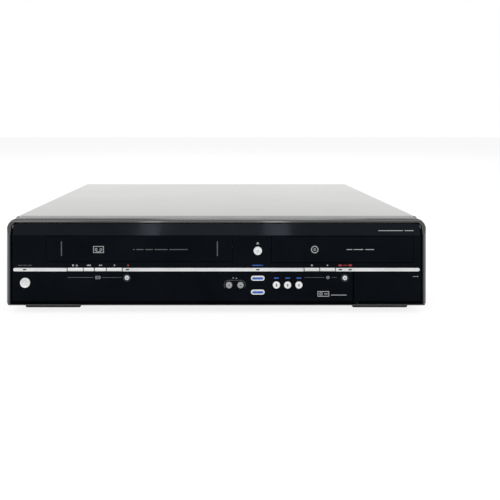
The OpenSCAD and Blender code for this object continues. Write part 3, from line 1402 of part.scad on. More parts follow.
// Arm that swings the rubber roller against the capstan
module pinch_arm() color("#4a4a4e") {
  arm_z = deck_floor + 3;
  roller = [capstan_at[0] + capstan_r + roller_r + 6, capstan_at[1] - 3];
  difference() {
    union() {
      plate_z(arm_z, arm_z + 2, [
        [pinch_at[0] - 4, pinch_at[1]], [roller[0] - 4, roller[1]], [roller[0], roller[1] - 4],
        [roller[0] + 4, roller[1]], [pinch_at[0] + 4, pinch_at[1]], [pinch_at[0], pinch_at[1] + 4]]);
      rod_z(arm_z - 1.5, arm_z + 5, pinch_at[0], pinch_at[1], 3.4);
    }
    rod_z(arm_z - 3, arm_z + 8, pinch_at[0], pinch_at[1], 1.5 + pin_gap);
  }
  rod_z(arm_z, arm_z + 24, roller[0], roller[1], 1.2);
  rod_z(arm_z + 4, arm_z + 22, roller[0], roller[1], roller_r);
}

// ---- Disc drive: its modules use X = 0 in its middle ----
sled_y0 = disc_y + 20;
sled_l = 22;
rods_end = sled_y0 + sled_l + pickup_travel + 3;
post_x = 40;
post_ys = [disc_y - 20, rods_end - 4];
slide_gap = 0.1;
bridge_t = 1.6;

module drive_chassis() color("#2a2a2c") {
  inner = drive_half - drive_t;
  floor_top = drive_z0 + drive_t;
  pinion_x = pinion_at[0] - drive_x;
  translate([drive_x, 0, 0]) {
    difference() {
      slab(drive_half, drive_y0, drive_y1, drive_z0, drive_z1);
      // Hollow between the walls, open at the front and the top
      slab(inner, drive_y0 - cut, drive_y1 - drive_t, floor_top, drive_z1 + cut);
      // Opening for the traverse and the disc motor
      slab(34, disc_y - 34, disc_y + 62, drive_z0 - cut, floor_top + cut);
    }
    both() {
      // Rails over and under the tray's edges
      block([tray_w / 2 - 3, drive_y0, tray_z0 - 2.3], [inner + 0.2, drive_y1 - 6, tray_z0 - slide_gap]);
      block([tray_w / 2 - 2, drive_y0 + 8, tray_z1 + 0.4], [inner + 0.2, drive_y0 + 152, tray_z1 + 2.4]);
      // Posts that the traverse slides on, each with a shoulder
      for (y = post_ys) {
        rod_z(floor_top - 1, traverse_z0, post_x, y, 3.4);
        rod_z(floor_top - 1, traverse_z0 + traverse_t + traverse_lift + 2, post_x, y, 2);
      }
      // Legs down to the base, the rear ones in front of the hard disk
      for (y = [drive_y0 + 30, min(drive_y1 - 10, disk_y0 - 8)]) {
        rod_z(base_z + sheet_t, floor_top - 1, drive_half - 8, y, 4);
        rod_z(base_z + sheet_t, base_z + sheet_t + 1.5, drive_half - 8, y, 6.5);
      }
    }
    // Post of the tray's pinion, and the loading motor
    rod_z(floor_top - 1, gear_z1 - 0.3, pinion_x, pinion_at[1], 1.5);
    rod_z(floor_top - 1, gear_z0 - pin_gap, pinion_x, pinion_at[1], 4);
    rod_z(floor_top - 1, tray_z0 - 5, -10, drive_y0 + 12, 8);
    rod_z(tray_z0 - 6, tray_z0 - 2, -10, drive_y0 + 12, 3);
    // Bridge over the tray, with the clamp's round seat
    difference() {
      slab(drive_half, disc_y - 18, disc_y + 18, drive_z1 - 0.2, drive_z1 - 0.2 + bridge_t);
      rod_z(drive_z1 - cut, drive_z1 + 3, 0, disc_y, 9);
    }
  }
}

rack_pitch = PI * gear_module;
rack_teeth = floor((tray_l - 30) / rack_pitch);
// Play between the rack and the pinion
rack_lash = 0.16;
rack_y0 = pinion_at[1] - rack_pitch * 3;

module disc_tray() color("#2c2c30") {
  tray_end = tray_y0 + tray_l;
  rack_left = rack_x - drive_x;
  translate([drive_x, 0, 0]) {
    difference() {
      union() {
        slab(tray_w / 2, tray_y0, tray_end, tray_z0, tray_z1);
        slab(tray_w / 2 - 6, tray_y0, tray_y0 + 5, tray_z1 - 0.2, tray_z1 + 1.6);
      }
      // Seats for large and small discs
      rod_z(tray_z1 - 1.6, tray_z1 + 3, 0, disc_y, disc_d / 2 + 1);
      rod_z(tray_z1 - 2.8, tray_z1 + 3, 0, disc_y, 41);
      // Opening for the turntable and the pickup
      rod_z(tray_z0 - cut, tray_z1 + cut, 0, disc_y, 19);
      slab(17, disc_y, disc_y + 70, tray_z0 - cut, tray_z1 + cut);
      // Finger recesses at the disc's edge
      both() rod_z(tray_z1 - 2.8, tray_z1 + 3, disc_d / 2 - 6, disc_y - 30, 8);
    }
    // Rack under the left edge
    difference() {
      block([rack_left - 5, rack_y0, gear_z0 + 0.3], [rack_left + gear_module * 0.9, tray_end - 4, tray_z0 + 0.2]);
      for (i = [0:rack_teeth])
        translate([rack_left, rack_y0 + i * rack_pitch, 0]) plate_z(gear_z0 - cut, gear_z1 + 0.2, [
          [-1.25 * gear_module, -rack_pitch / 4 + 0.455 * gear_module - rack_lash],
          [gear_module, -rack_pitch / 4 - 0.364 * gear_module - rack_lash],
          [gear_module, rack_pitch / 4 + 0.364 * gear_module + rack_lash],
          [-1.25 * gear_module, rack_pitch / 4 - 0.455 * gear_module + rack_lash]]);
    }
  }
}

// Involute flank of a spur gear: radius and polar angle from the tooth's middle
function involute(r, base) = sqrt(pow(r / base, 2) - 1) * 180 / PI - acos(base / r);

function spur_gear(m, z, lash) =
  let (pitch = m * z / 2, base = pitch * cos(20), root = pitch - 1.15 * m, tip = pitch + 0.9 * m,
    half = 90 / z - lash / pitch * 90 / PI, start = max(base, root) + 0.01,
    radii = [for (i = [0:4]) start + (tip - start) * i / 4])
  [for (tooth = [0:z - 1]) for (p = concat(
    [[root, -half - involute(pitch, base)]],
    [for (r = radii) [r, -half - involute(pitch, base) + involute(r, base)]],
    [for (i = [4:-1:0]) [radii[i], half + involute(pitch, base) - involute(radii[i], base)]],
    [[root, half + involute(pitch, base)]]))
    let (a = tooth * 360 / z + p[1]) [p[0] * cos(a), p[0] * sin(a)]];

module tray_pinion() color("#e4e2da") {
  translate([pinion_at[0], pinion_at[1], 0]) difference() {
    union() {
      // Turned so that a tooth points at the rack
      rotate([0, 0, 180]) plate_z(gear_z0, gear_z1, spur_gear(gear_module, pinion_teeth, 0.1));
      translate([0, 0, gear_z0]) cylinder(r = 4, h = gear_z1 - gear_z0);
    }
    translate([0, 0, gear_z0 - cut]) cylinder(r = 1.5 + pin_gap, h = 12);
  }
}

// Traverse: the frame that carries the disc motor, the rods and the pickup
traverse_z1 = traverse_z0 + traverse_t;
rod_dx = 21;
rod_r = 1.5;
rod_z_mid = traverse_z1 + 3;
motor_top = turntable_top - 7.5;

module traverse() color("#8e9092") {
  translate([drive_x, 0, 0]) {
    difference() {
      union() {
        slab(30, disc_y - 28, rods_end + 5, traverse_z0, traverse_z1);
        for (y = post_ys) {
          slab(post_x, y - 5, y + 5, traverse_z0, traverse_z1);
          both() rod_z(traverse_z0, traverse_z1, post_x, y, 5);
        }
      }
      for (y = post_ys)
        both() rod_z(traverse_z0 - cut, traverse_z1 + cut, post_x, y, 2 + pin_gap);
      slab(15, disc_y + 17, rods_end - 1, traverse_z0 - cut, traverse_z1 + cut);
    }
    // Spindle motor with its shaft
    rod_z(traverse_z1 - 0.2, motor_top, 0, disc_y, 12);
    rod_z(motor_top - cut, turntable_top - 1, 0, disc_y, 1);
    // Two guide rods in their end blocks
    both() {
      rod_y(sled_y0 - 4, rods_end, rod_dx, rod_z_mid, rod_r);
      for (y = [sled_y0 - 5, rods_end - 1])
        block([rod_dx - 3, y, traverse_z1 - 0.2], [rod_dx + 3, y + 3, rod_z_mid + 2.5]);
    }
  }
}

module turntable() color("#1e1e20") {
  translate([drive_x, disc_y, 0]) difference() {
    rotate_extrude() polygon([
      [0, motor_top + 0.6], [14, motor_top + 0.6], [15.5, motor_top + 2], [15.5, turntable_top - hub_h],
      [7.4, turntable_top - hub_h], [7.4, turntable_top - 1], [6, turntable_top], [0, turntable_top]]);
    translate([0, 0, motor_top]) cylinder(r = 1 + pin_gap, h = turntable_top - 1 - motor_top + 0.5);
  }
}

module pickup_sled() color("#5a5c60") {
  translate([drive_x, sled_y0, rod_z_mid]) {
    difference() {
      union() {
        slab(13, 0, sled_l, -3, 3);
        slab(rod_dx + 3, 2, sled_l - 2, -2.4, 2.6);
        rod_z(2, 4, 0, 7, 5);
      }
      both() rod_y(-cut, sled_l + cut, rod_dx, 0, rod_r + pin_gap);
    }
    // Lens on top
    rod_z(3.8, 4.6, 0, 7, 2.5);
  }
}

module disc_clamp() color("#26262a") {
  seat = drive_z1 - 0.2 + bridge_t + pin_gap;
  face = tray_z1 + 0.4;
  // The hollow below takes the turntable's hub
  translate([drive_x, disc_y, 0]) rotate_extrude() polygon([
    [0, face + 2], [8, face + 2], [8, face], [15, face], [15, face + 1.5], [11, face + 3], [8.6, face + 3],
    [8.6, seat], [12, seat], [12, seat + 1.2], [0, seat + 1.2]]);
}

// ---- Hard disk and boards ----
disk_x1 = half_w - 12;
disk_x0 = disk_x1 - disk_l;
disk_y1 = fan_y0 - 6;
disk_y0 = disk_y1 - disk_w;
disk_z0 = base_z + 3;

module hard_disk() color("#b8babc") {
  difference() {
    union() {
      block([disk_x0, disk_y0, disk_z0 + 2], [disk_x1, disk_y1, disk_z0 + disk_h - 3]);
      plate_z(disk_z0 + disk_h - 3.2, disk_z0 + disk_h, rounded(disk_x0 + 1, disk_x1 - 1, disk_y0 + 1, disk_y1 - 1, 5));
      // Feet of the bracket that carries it
      for (x = [disk_x0 + 14, disk_x1 - 26])
        block([x, disk_y0, base_z + sheet_t], [x + 12, disk_y1, disk_z0 + 2.2]);
    }
    rod_z(disk_z0 + disk_h - 0.8, disk_z0 + disk_h + cut, disk_x0 + 52, (disk_y0 + disk_y1) / 2, 44);
  }
}

module board_posts(x0, x1, y0, y1) {
  for (x = [x0 + 5, x1 - 5])
    for (y = [y0 + 5, y1 - 5])
      rod_z(base_z + sheet_t, board_low + 0.2, x, y, 2.5);
}

// The main board reaches under the tuner and the rear sockets
main_x0 = aerial_x - tuner_w / 2 - 2;
main_x1 = disk_x0 - 4;
main_y0 = deck_y1 + 6;
main_y1 = panel_inside - 2;

module main_board() color("#2f6b3c") {
  w = main_x1 - main_x0;
  d = main_y1 - main_y0;
  block([main_x0, main_y0, board_low], [main_x1, main_y1, board_top]);
  board_posts(main_x0, main_x1, main_y0, main_y1);
  translate([main_x0, main_y0, board_top]) {
    // Large chips: places and sides as shares of the board
    for (chip = [[0.36, 0.28, 0.28], [0.6, 0.34, 0.21], [0.8, 0.24, 0.23]])
      translate([chip[0] * w, chip[1] * d, -0.2]) cube([chip[2] * d, chip[2] * d, 2.6]);
    // Finned heat sink on the first
    translate([0.36 * w + 1, 0.28 * d + 1, 2.2]) {
      sink_w = 0.28 * d - 2;
      cube([sink_w, sink_w, 2.8]);
      for (i = [0:5])
        translate([i * (sink_w - 1) / 5, 0, 2.6]) cube([1, sink_w, 10.2]);
    }
    // Plug headers along the front edge
    for (i = [0:3])
      block([(0.12 + 0.21 * i) * w, 2, -0.2], [(0.21 + 0.21 * i) * w, 8, 8]);
  }
}

power_x0 = -base_half + 6;
power_x1 = main_x0 - 3;
power_y0 = deck_y1 + 4;
power_y1 = panel_inside - 23;

module power_board() color("#b58a4a") {
  block([power_x0, power_y0, board_low], [power_x1, power_y1, board_top]);
  board_posts(power_x0, power_x1, power_y0, power_y1);
}

module power_parts() color("#33363c") {
  w = power_x1 - power_x0;
  d = power_y1 - power_y0;
  translate([power_x0, power_y0, board_top]) {
    // Transformer: core and windings
    translate([0.44 * w, 0.45 * d, 0]) {
      slab(0.27 * w, -0.225 * d, 0.225 * d, 4, 26);
      slab(0.175 * w, -0.27 * d, 0.27 * d, 0, 30);
    }
    // Upright capacitors: places, radius as a share of the depth, height
    for (cap = [[0.86, 0.24, 0.12, 30], [0.87, 0.58, 0.09, 22], [0.9, 0.85, 0.07, 18], [0.12, 0.88, 0.07, 16]])
      rod_z(0, cap[3], cap[0] * w, cap[1] * d, cap[2] * d);
    // Heat sink with bent fins
    block([0.34 * w, 0.86 * d, 0], [0.76 * w, 0.9 * d, 28]);
    for (i = [0:4])
      block([(0.34 + i * 0.1) * w, 0.895 * d, 4], [(0.36 + i * 0.1) * w, d, 28]);
    // Fuse between its clips
    rod_x(0.14 * w, 0.46 * w, 0.08 * d, 5, 2.6);
    for (x = [0.16, 0.4])
      block([x * w, 0.04 * d, 0], [(x + 0.04) * w, 0.12 * d, 8]);
  }
}

top_cover();
bezel_frame();
front_panel();
accent_strip();
indicator_lenses();
cassette_door();
door_spring();
tray_front();
jack_flap();
base_chassis();
rear_panel();
feet();
cover_screws();
standby_button();
open_close_button();
deck_record_button();
disc_record_button();
channel_down_button();
channel_up_button();
dubbing_button_upper();
dubbing_button_lower();
selector_button_left();
selector_button_middle();
selector_button_right();
deck_stop_key();
deck_rewind_key();
deck_forward_key();
deck_play_key();
disc_stop_key();
disc_play_key();
key_board();
jack_housing();
front_jacks();
mains_inlet();
aerial_sockets();
scart_sockets();
phono_sockets();
video_sockets();
fan_frame();
fan_rotor();
deck_frame();
holder_slider();
cassette_holder();
drum_base();
head_drum();
capstan();
pinch_arm();
supply_reel();
take_up_reel();
drive_chassis();
disc_tray();
tray_pinion();
traverse();
turntable();
pickup_sled();
disc_clamp();
hard_disk();
main_board();
power_board();
power_parts();
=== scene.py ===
import json
import math

import bmesh
import bpy
from mathutils import Matrix, Vector

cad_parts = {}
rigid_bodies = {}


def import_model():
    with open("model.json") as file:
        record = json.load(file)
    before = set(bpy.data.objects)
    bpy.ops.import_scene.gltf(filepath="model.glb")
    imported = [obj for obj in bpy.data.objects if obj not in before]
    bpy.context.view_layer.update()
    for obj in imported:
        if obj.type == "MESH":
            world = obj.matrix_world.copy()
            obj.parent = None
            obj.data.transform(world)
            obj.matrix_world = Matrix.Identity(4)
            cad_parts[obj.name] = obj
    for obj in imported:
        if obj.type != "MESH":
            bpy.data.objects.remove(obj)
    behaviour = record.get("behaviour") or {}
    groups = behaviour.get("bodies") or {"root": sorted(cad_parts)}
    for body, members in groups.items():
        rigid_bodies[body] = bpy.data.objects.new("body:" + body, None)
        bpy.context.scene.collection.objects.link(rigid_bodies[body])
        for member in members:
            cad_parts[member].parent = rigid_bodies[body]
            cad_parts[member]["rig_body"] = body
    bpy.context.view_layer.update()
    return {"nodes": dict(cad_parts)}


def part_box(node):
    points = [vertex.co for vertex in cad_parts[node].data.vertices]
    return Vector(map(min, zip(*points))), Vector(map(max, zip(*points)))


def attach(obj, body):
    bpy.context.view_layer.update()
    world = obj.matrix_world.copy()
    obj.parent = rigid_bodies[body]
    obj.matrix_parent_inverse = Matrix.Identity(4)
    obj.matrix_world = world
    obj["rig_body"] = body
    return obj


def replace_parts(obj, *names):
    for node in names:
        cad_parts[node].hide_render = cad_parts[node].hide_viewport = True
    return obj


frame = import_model()

MM = 0.001
# Points of a CAD node closer than this many metres are one point, and shorter edges than the next go
WELD = 1e-6
SLIVER = 1e-5


# ---- Shader helpers ----

def linear(hex_colour):
    """Linear RGBA of an sRGB hex colour."""
    values = [int(hex_colour[i:i + 2], 16) / 255 for i in (1, 3, 5)]
    return [v / 12.92 if v <= 0.04045 else ((v + 0.055) / 1.055) ** 2.4 for v in values] + [1.0]


def add(tree, kind, settings=None, links=None):
    """One shader node with its settings, its colour stops and the sockets that feed it."""
    node = tree.nodes.new("ShaderNode" + kind)
    for name, value in (settings or {}).items():
        if name == "stops":
            ramp = node.color_ramp.elements
            while len(ramp) < len(value):
                ramp.new(0.5)
            for stop, (place, colour) in zip(ramp, value):
                stop.position = place
                stop.color = linear(colour)
        elif isinstance(name, int) or name in node.inputs:
            node.inputs[name].default_value = value
        else:
            setattr(node, name, value)
    for name, source in (links or {}).items():
        tree.links.new(source, node.inputs[name])
    return node


def start_material(name, sockets):
    """A material's tree with its shader, and the coordinates that its patterns read."""
    material = bpy.data.materials.new(name)
    material.use_nodes = True
    tree = material.node_tree
    tree.nodes.clear()
    where = add(tree, "TexCoord").outputs["Object"]
    shader = add(tree, "BsdfPrincipled", sockets)
    add(tree, "OutputMaterial", links={"Surface": shader.outputs["BSDF"]})
    return material, tree, where, shader


def feed(tree, shader, colour, rough, bump):
    """Gives a shader its colour socket, its gloss and its relief."""
    tree.links.new(colour, shader.inputs["Base Color"])
    tree.links.new(rough.outputs["Result"], shader.inputs["Roughness"])
    tree.links.new(bump.outputs["Normal"], shader.inputs["Normal"])


# Most of a noise's values lie between these two
LOW, HIGH = 0.35, 0.65
# Width of the soft patches on plastic
DRIFT = 30 * MM


def moulded_plastic(name, dark, light, gloss, grain, relief, sockets):
    """Injection-moulded plastic. Its colour and gloss drift softly over 30 mm, as handling and
    the flow in the mould leave them, and the mould's grain gives the fine bumps."""
    material, tree, where, shader = start_material(name, sockets)
    drift = add(tree, "TexNoise", {"Scale": 1 / DRIFT, "Detail": 4.0}, {"Vector": where})
    colour = add(tree, "ValToRGB", {"stops": [(LOW, dark), (HIGH, light)]}, {"Fac": drift.outputs["Fac"]})
    rough = add(tree, "MapRange", {
        "From Min": LOW, "From Max": HIGH, "To Min": gloss[0], "To Max": gloss[1]},
        {"Value": drift.outputs["Fac"]})
    fine = add(tree, "TexNoise", {"Scale": 1 / grain, "Detail": 2.0}, {"Vector": where})
    bump = add(tree, "Bump", {"Strength": 0.5, "Distance": relief}, {"Height": fine.outputs["Fac"]})
    feed(tree, shader, colour.outputs["Color"], rough, bump)
    return material


# Piano-black acrylic: polished by hand, near black with a cold tint, with faint smears in its gloss.
# Its specular level is set low as painted shade in its reflection: it stands in for the dark side of a room,
# which the white world here doesn't have.
piano_black = moulded_plastic(
    "piano_black_acrylic", "#06090d", "#0a0d12", (0.05, 0.11), 1.4 * MM, 0.002 * MM,
    {"IOR": 1.49, "Specular IOR Level": 0.04, "Specular Tint": linear("#e4eeff")})
# The same acrylic on the leaning band at the panel's top, with a higher specular level: a painted brighter
# reflection, standing in for a lit ceiling that it faces
leaning_black = moulded_plastic(
    "leaning_black_acrylic", "#06090d", "#0a0d12", (0.05, 0.11), 1.4 * MM, 0.002 * MM,
    {"IOR": 1.49, "Specular IOR Level": 0.13, "Specular Tint": linear("#e4eeff")})
# Satin black ABS of the bezel: an even, faintly grained skin under a thin gloss coat
satin_black = moulded_plastic(
    "satin_black_abs", "#0c0d0f", "#121316", (0.1, 0.15), 0.45 * MM, 0.003 * MM, {
        "IOR": 1.5, "Coat Weight": 1.0, "Coat Roughness": 0.06, "Coat IOR": 1.5})
# The bezel's upper face: the same ABS with a duller grain and no gloss coat
grained_black = moulded_plastic(
    "grained_black_abs", "#0c0d0f", "#121316", (0.16, 0.22), 0.45 * MM, 0.003 * MM, {"IOR": 1.46})
# Silver lacquer on ABS: pale, with fine metal flakes in it
silver_lacquer = moulded_plastic(
    "silver_lacquered_abs", "#d9dadb", "#e6e7e8", (0.3, 0.4), 0.3 * MM, 0.003 * MM, {"Metallic": 0.35})
# White ABS of the standby, selector and dubbing buttons and of the white phono collars
white_abs = moulded_plastic(
    "white_abs", "#e4e5e6", "#f0f0f1", (0.3, 0.38), 0.5 * MM, 0.003 * MM, {"IOR": 1.53})
# Grey lacquer on the ABS of the channel buttons: duller than the silver
grey_lacquer = moulded_plastic(
    "grey_lacquered_abs", "#8f9192", "#a0a2a3", (0.34, 0.42), 0.4 * MM, 0.004 * MM, {"Metallic": 0.3})
# Smoked acrylic in front of the indicators. Its specular level is set low as painted shade in its reflection,
# so it mirrors less of the white world.
smoked_acrylic = moulded_plastic(
    "smoked_acrylic", "#08080a", "#0e0e11", (0.08, 0.14), 0.8 * MM, 0.002 * MM,
    {"IOR": 1.49, "Specular IOR Level": 0.15})
# Blue acrylic window of the dubbing buttons
blue_acrylic = moulded_plastic(
    "blue_acrylic", "#1d4f9e", "#2a62b8", (0.15, 0.22), 0.8 * MM, 0.003 * MM, {"IOR": 1.49})
# Matt black ABS of the sockets, the fan, the chips and the drive's chassis: coarse eroded grain
matt_black = moulded_plastic(
    "matt_black_abs", "#161618", "#202023", (0.5, 0.62), 0.6 * MM, 0.02 * MM, {"IOR": 1.53})
# Charcoal ABS of the feet: the same grain, a dark grey made paler by painted light, standing in for the light
# that the feet catch
charcoal_abs = moulded_plastic(
    "charcoal_abs", "#3a3a3d", "#48484b", (0.5, 0.62), 0.6 * MM, 0.02 * MM, {"IOR": 1.53})
# Dark grey ABS of the disc tray
tray_grey = moulded_plastic(
    "tray_grey_abs", "#26272a", "#303134", (0.4, 0.5), 0.5 * MM, 0.012 * MM, {"IOR": 1.53})
# White acetal of the pinion, the reel tables and the plug headers: waxy, slightly warm
white_acetal = moulded_plastic(
    "white_acetal", "#dcdad2", "#e9e7df", (0.35, 0.45), 0.7 * MM, 0.006 * MM, {"IOR": 1.48})
# Black rubber of the feet's soles and the pinch roller
rubber = moulded_plastic(
    "black_rubber", "#17171a", "#222225", (0.7, 0.82), 0.5 * MM, 0.03 * MM, {"IOR": 1.52})
# Yellow and red ABS of the phono collars
yellow_abs = moulded_plastic(
    "yellow_abs", "#d8b400", "#e6c414", (0.3, 0.4), 0.5 * MM, 0.005 * MM, {"IOR": 1.53})
red_abs = moulded_plastic(
    "red_abs", "#a81612", "#bd2019", (0.3, 0.4), 0.5 * MM, 0.005 * MM, {"IOR": 1.53})
# Screen-printed inks: thin, slightly mottled films
pale_ink, dim_ink, blue_ink, red_ink, dark_ink = [
    moulded_plastic(name, dark, light, (0.5, 0.6), 0.3 * MM, 0.004 * MM, {"IOR": 1.5})
    for name, dark, light in (
        ("pale_grey_ink", "#9fa1a4", "#b4b6b9"), ("dim_grey_ink", "#4c4e52", "#5c5e62"),
        ("blue_ink", "#1c4a96", "#2759ae"), ("red_ink", "#8e1f1a", "#a52a24"),
        ("dark_grey_ink", "#2b2d31", "#3a3c40"))]
# Shrink sleeves of the capacitors
blue_sleeve = moulded_plastic(
    "blue_shrink_sleeve", "#1d2a55", "#263668", (0.25, 0.35), 0.5 * MM, 0.004 * MM, {"IOR": 1.54})
# Polycarbonate of the laser's lens, which looks like a glossy bluish bead
clear_lens = moulded_plastic(
    "lens_polycarbonate", "#8fa6c8", "#a8bcd8", (0.03, 0.08), 0.6 * MM, 0.001 * MM, {"IOR": 1.58})


def powder_coat():
    """Baked black powder coat on steel: an orange-peel skin about 2 mm across, and dust that dulls it
    in soft patches."""
    peel_width, patch_width = 2.2 * MM, 90 * MM
    material, tree, where, shader = start_material("black_powder_coat", {
        "IOR": 1.35, "Coat Weight": 0.92, "Coat Roughness": 0.1, "Coat IOR": 1.62,
        "Coat Tint": linear("#fffffb")})
    peel = add(tree, "TexNoise", {
        "Scale": 1 / peel_width, "Detail": 3.0, "Roughness": 0.6}, {"Vector": where})
    dust = add(tree, "TexNoise", {
        "Scale": 1 / patch_width, "Detail": 5.0, "Roughness": 0.6}, {"Vector": where})
    colour = add(tree, "ValToRGB", {
        "stops": [(0.4, "#101011"), (0.7, "#19191a")]}, {"Fac": dust.outputs["Fac"]})
    rough = add(tree, "MapRange", {
        "From Min": LOW, "From Max": 0.7, "To Min": 0.14, "To Max": 0.2}, {"Value": dust.outputs["Fac"]})
    bump = add(tree, "Bump", {"Strength": 0.35, "Distance": 0.012 * MM}, {"Height": peel.outputs["Fac"]})
    feed(tree, shader, colour.outputs["Color"], rough, bump)
    return material


def zinc_coated_steel():
    """Hot-dip zinc on sheet steel: crystals about 5 mm across, each with its own shade and gloss."""
    crystal_width, haze_width = 5 * MM, 0.8 * MM
    material, tree, where, shader = start_material("zinc_coated_steel", {"Metallic": 1.0})
    crystal = add(tree, "TexVoronoi", {"Scale": 1 / crystal_width}, {"Vector": where})
    colour = add(tree, "ValToRGB", {
        "stops": [(0.1, "#9b9da0"), (0.9, "#abaeb1")]}, {"Fac": crystal.outputs["Color"]})
    rough = add(tree, "MapRange", {"To Min": 0.36, "To Max": 0.44}, {"Value": crystal.outputs["Color"]})
    haze = add(tree, "TexNoise", {"Scale": 1 / haze_width, "Detail": 3.0}, {"Vector": where})
    bump = add(tree, "Bump", {"Strength": 0.2, "Distance": 0.01 * MM}, {"Height": haze.outputs["Fac"]})
    feed(tree, shader, colour.outputs["Color"], rough, bump)
    return material


def worked_metal(name, dark, light, gloss, stroke, stretch):
    """Bare metal with the fine lines of its drawing, turning or grinding along one direction."""
    material, tree, where, shader = start_material(name, {"Metallic": 1.0})
    drawn = add(tree, "Mapping", {"Scale": stretch}, {"Vector": where})
    lines = add(tree, "TexNoise", {
        "Scale": 1 / stroke, "Detail": 3.0, "Roughness": 0.6}, {"Vector": drawn.outputs["Vector"]})
    colour = add(tree, "ValToRGB", {"stops": [(LOW, dark), (HIGH, light)]}, {"Fac": lines.outputs["Fac"]})
    rough = add(tree, "MapRange", {
        "From Min": 0.3, "From Max": 0.7, "To Min": gloss[0], "To Max": gloss[1]},
        {"Value": lines.outputs["Fac"]})
    bump = add(tree, "Bump", {"Strength": 0.2, "Distance": 0.004 * MM}, {"Height": lines.outputs["Fac"]})
    feed(tree, shader, colour.outputs["Color"], rough, bump)
    return material


def laminate(name, mask, copper, pitch):
    """Printed-circuit laminate: lacquer over copper tracks a few millimetres apart."""
    track_width, weave_width = 0.28 * MM, 0.6 * MM
    material, tree, where, shader = start_material(name, {
        "IOR": 1.52, "Coat Weight": 0.3, "Coat Roughness": 0.15})
    tracks = add(tree, "TexBrick", {
        "Scale": 1.0, "Mortar Size": track_width, "Mortar Smooth": 0.1, "Brick Width": pitch * 2.3,
        "Row Height": pitch, "Color1": linear(mask), "Color2": linear(mask), "Mortar": linear(copper),
        "offset": 0.37}, {"Vector": where})
    weave = add(tree, "TexNoise", {"Scale": 1 / weave_width, "Detail": 2.0}, {"Vector": where})
    rough = add(tree, "MapRange", {"To Min": 0.3, "To Max": 0.45}, {"Value": weave.outputs["Fac"]})
    bump = add(tree, "Bump", {"Strength": 0.3, "Distance": 0.02 * MM}, {"Height": tracks.outputs["Fac"]})
    feed(tree, shader, tracks.outputs["Color"], rough, bump)
    return material


black_coat = powder_coat()
zinc_steel = zinc_coated_steel()
# Nickel plate of the sockets: bright, with faint turning marks
nickel = worked_metal("nickel_plate", "#b4b2ac", "#cfcdc8", (0.14, 0.26), 0.5 * MM, (1, 8, 1))
# Polished steel of shafts, springs and guide rods
bright_steel = worked_metal("polished_steel", "#aeb0b2", "#c6c8ca", (0.16, 0.26), 0.6 * MM, (1, 1, 6))
# Die-cast aluminium of the drum, the pickup, the hard disk and the heat sinks, with machined faces
cast_aluminium = worked_metal("machined_aluminium", "#a5a7a9", "#c3c5c7", (0.24, 0.36), 0.7 * MM, (6, 1, 1))
# Blackened steel of the screws
black_steel = worked_metal("blackened_steel", "#1c1c1f", "#2a2a2d", (0.3, 0.42), 0.5 * MM, (1, 1, 3))
# Copper windings of the transformer
copper_wire = worked_metal("enamelled_copper", "#7a3e1c", "#9a552a", (0.25, 0.35), 0.5 * MM, (1, 1, 9))
green_board = laminate("green_solder_mask", "#12401f", "#1c5a2c", 2.6 * MM)
tan_board = laminate("phenolic_laminate", "#8a6430", "#9c7640", 4.0 * MM)


# ---- Pieces that stand for the CAD nodes ----
# On these the faces that are large or square to the axes are shaded flat, because no curve runs into them
CRISP = {"finished_" + node for node in (
    "top_cover", "front_panel", "accent_strip", "cassette_door", "tray_front", "jack_flap", "base_chassis",
    "rear_panel", "deck_frame", "drive_chassis", "main_board", "key_board", "disc_tray", "jack_housing",
    "cassette_holder")}
# Share of its normal that a square face has along an axis, and the area of a large face
SQUARE = 0.99999
LARGE = 20 * MM ** 2
# Where faces meet at a wider angle than this, their edge is sharp
CREASE = math.radians(16)
# Folds in degrees that are rounded as edges, and those that a node's own rounding takes
EDGE_FOLD, ROUND_FOLD = 30, 15
# An edge is rounded in two steps where it is three times as long as its rounding
EDGE_STEPS, EDGE_LENGTH = 2, 3


def centre(face):
    """A face's middle in millimetres."""
    return face.calc_center_median() / MM


def finish_mesh(name, bm, body, materials):
    """Turns a bmesh into a piece that rides on a body, smooth except at its edges."""
    mesh = bpy.data.meshes.new(name)
    bm.to_mesh(mesh)
    bm.free()
    for material in materials:
        mesh.materials.append(material)
    mesh.set_sharp_from_angle(angle=CREASE)
    # That call makes every face smooth, so the flat ones are set after it. The cover's bends stay smooth.
    for face in mesh.polygons:
        square = max(abs(value) for value in face.normal) > SQUARE
        large = face.area > LARGE and name != "finished_top_cover"
        face.use_smooth = not (name in CRISP and (square or large))
    obj = bpy.data.objects.new(name, mesh)
    bpy.context.scene.collection.objects.link(obj)
    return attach(obj, body)


def folds(bm, degrees):
    """The edges whose two faces meet at more than some degrees."""
    return [e for e in bm.edges if len(e.link_faces) == 2 and e.calc_face_angle() > math.radians(degrees)]


def round_edges(bm, edges, offset, segments):
    """Rounds edges by offset millimetres."""
    bmesh.ops.bevel(bm, geom=edges, offset=offset * MM, offset_type="OFFSET", segments=segments, profile=0.5,
                    affect="EDGES", clamp_overlap=False, material=-1)


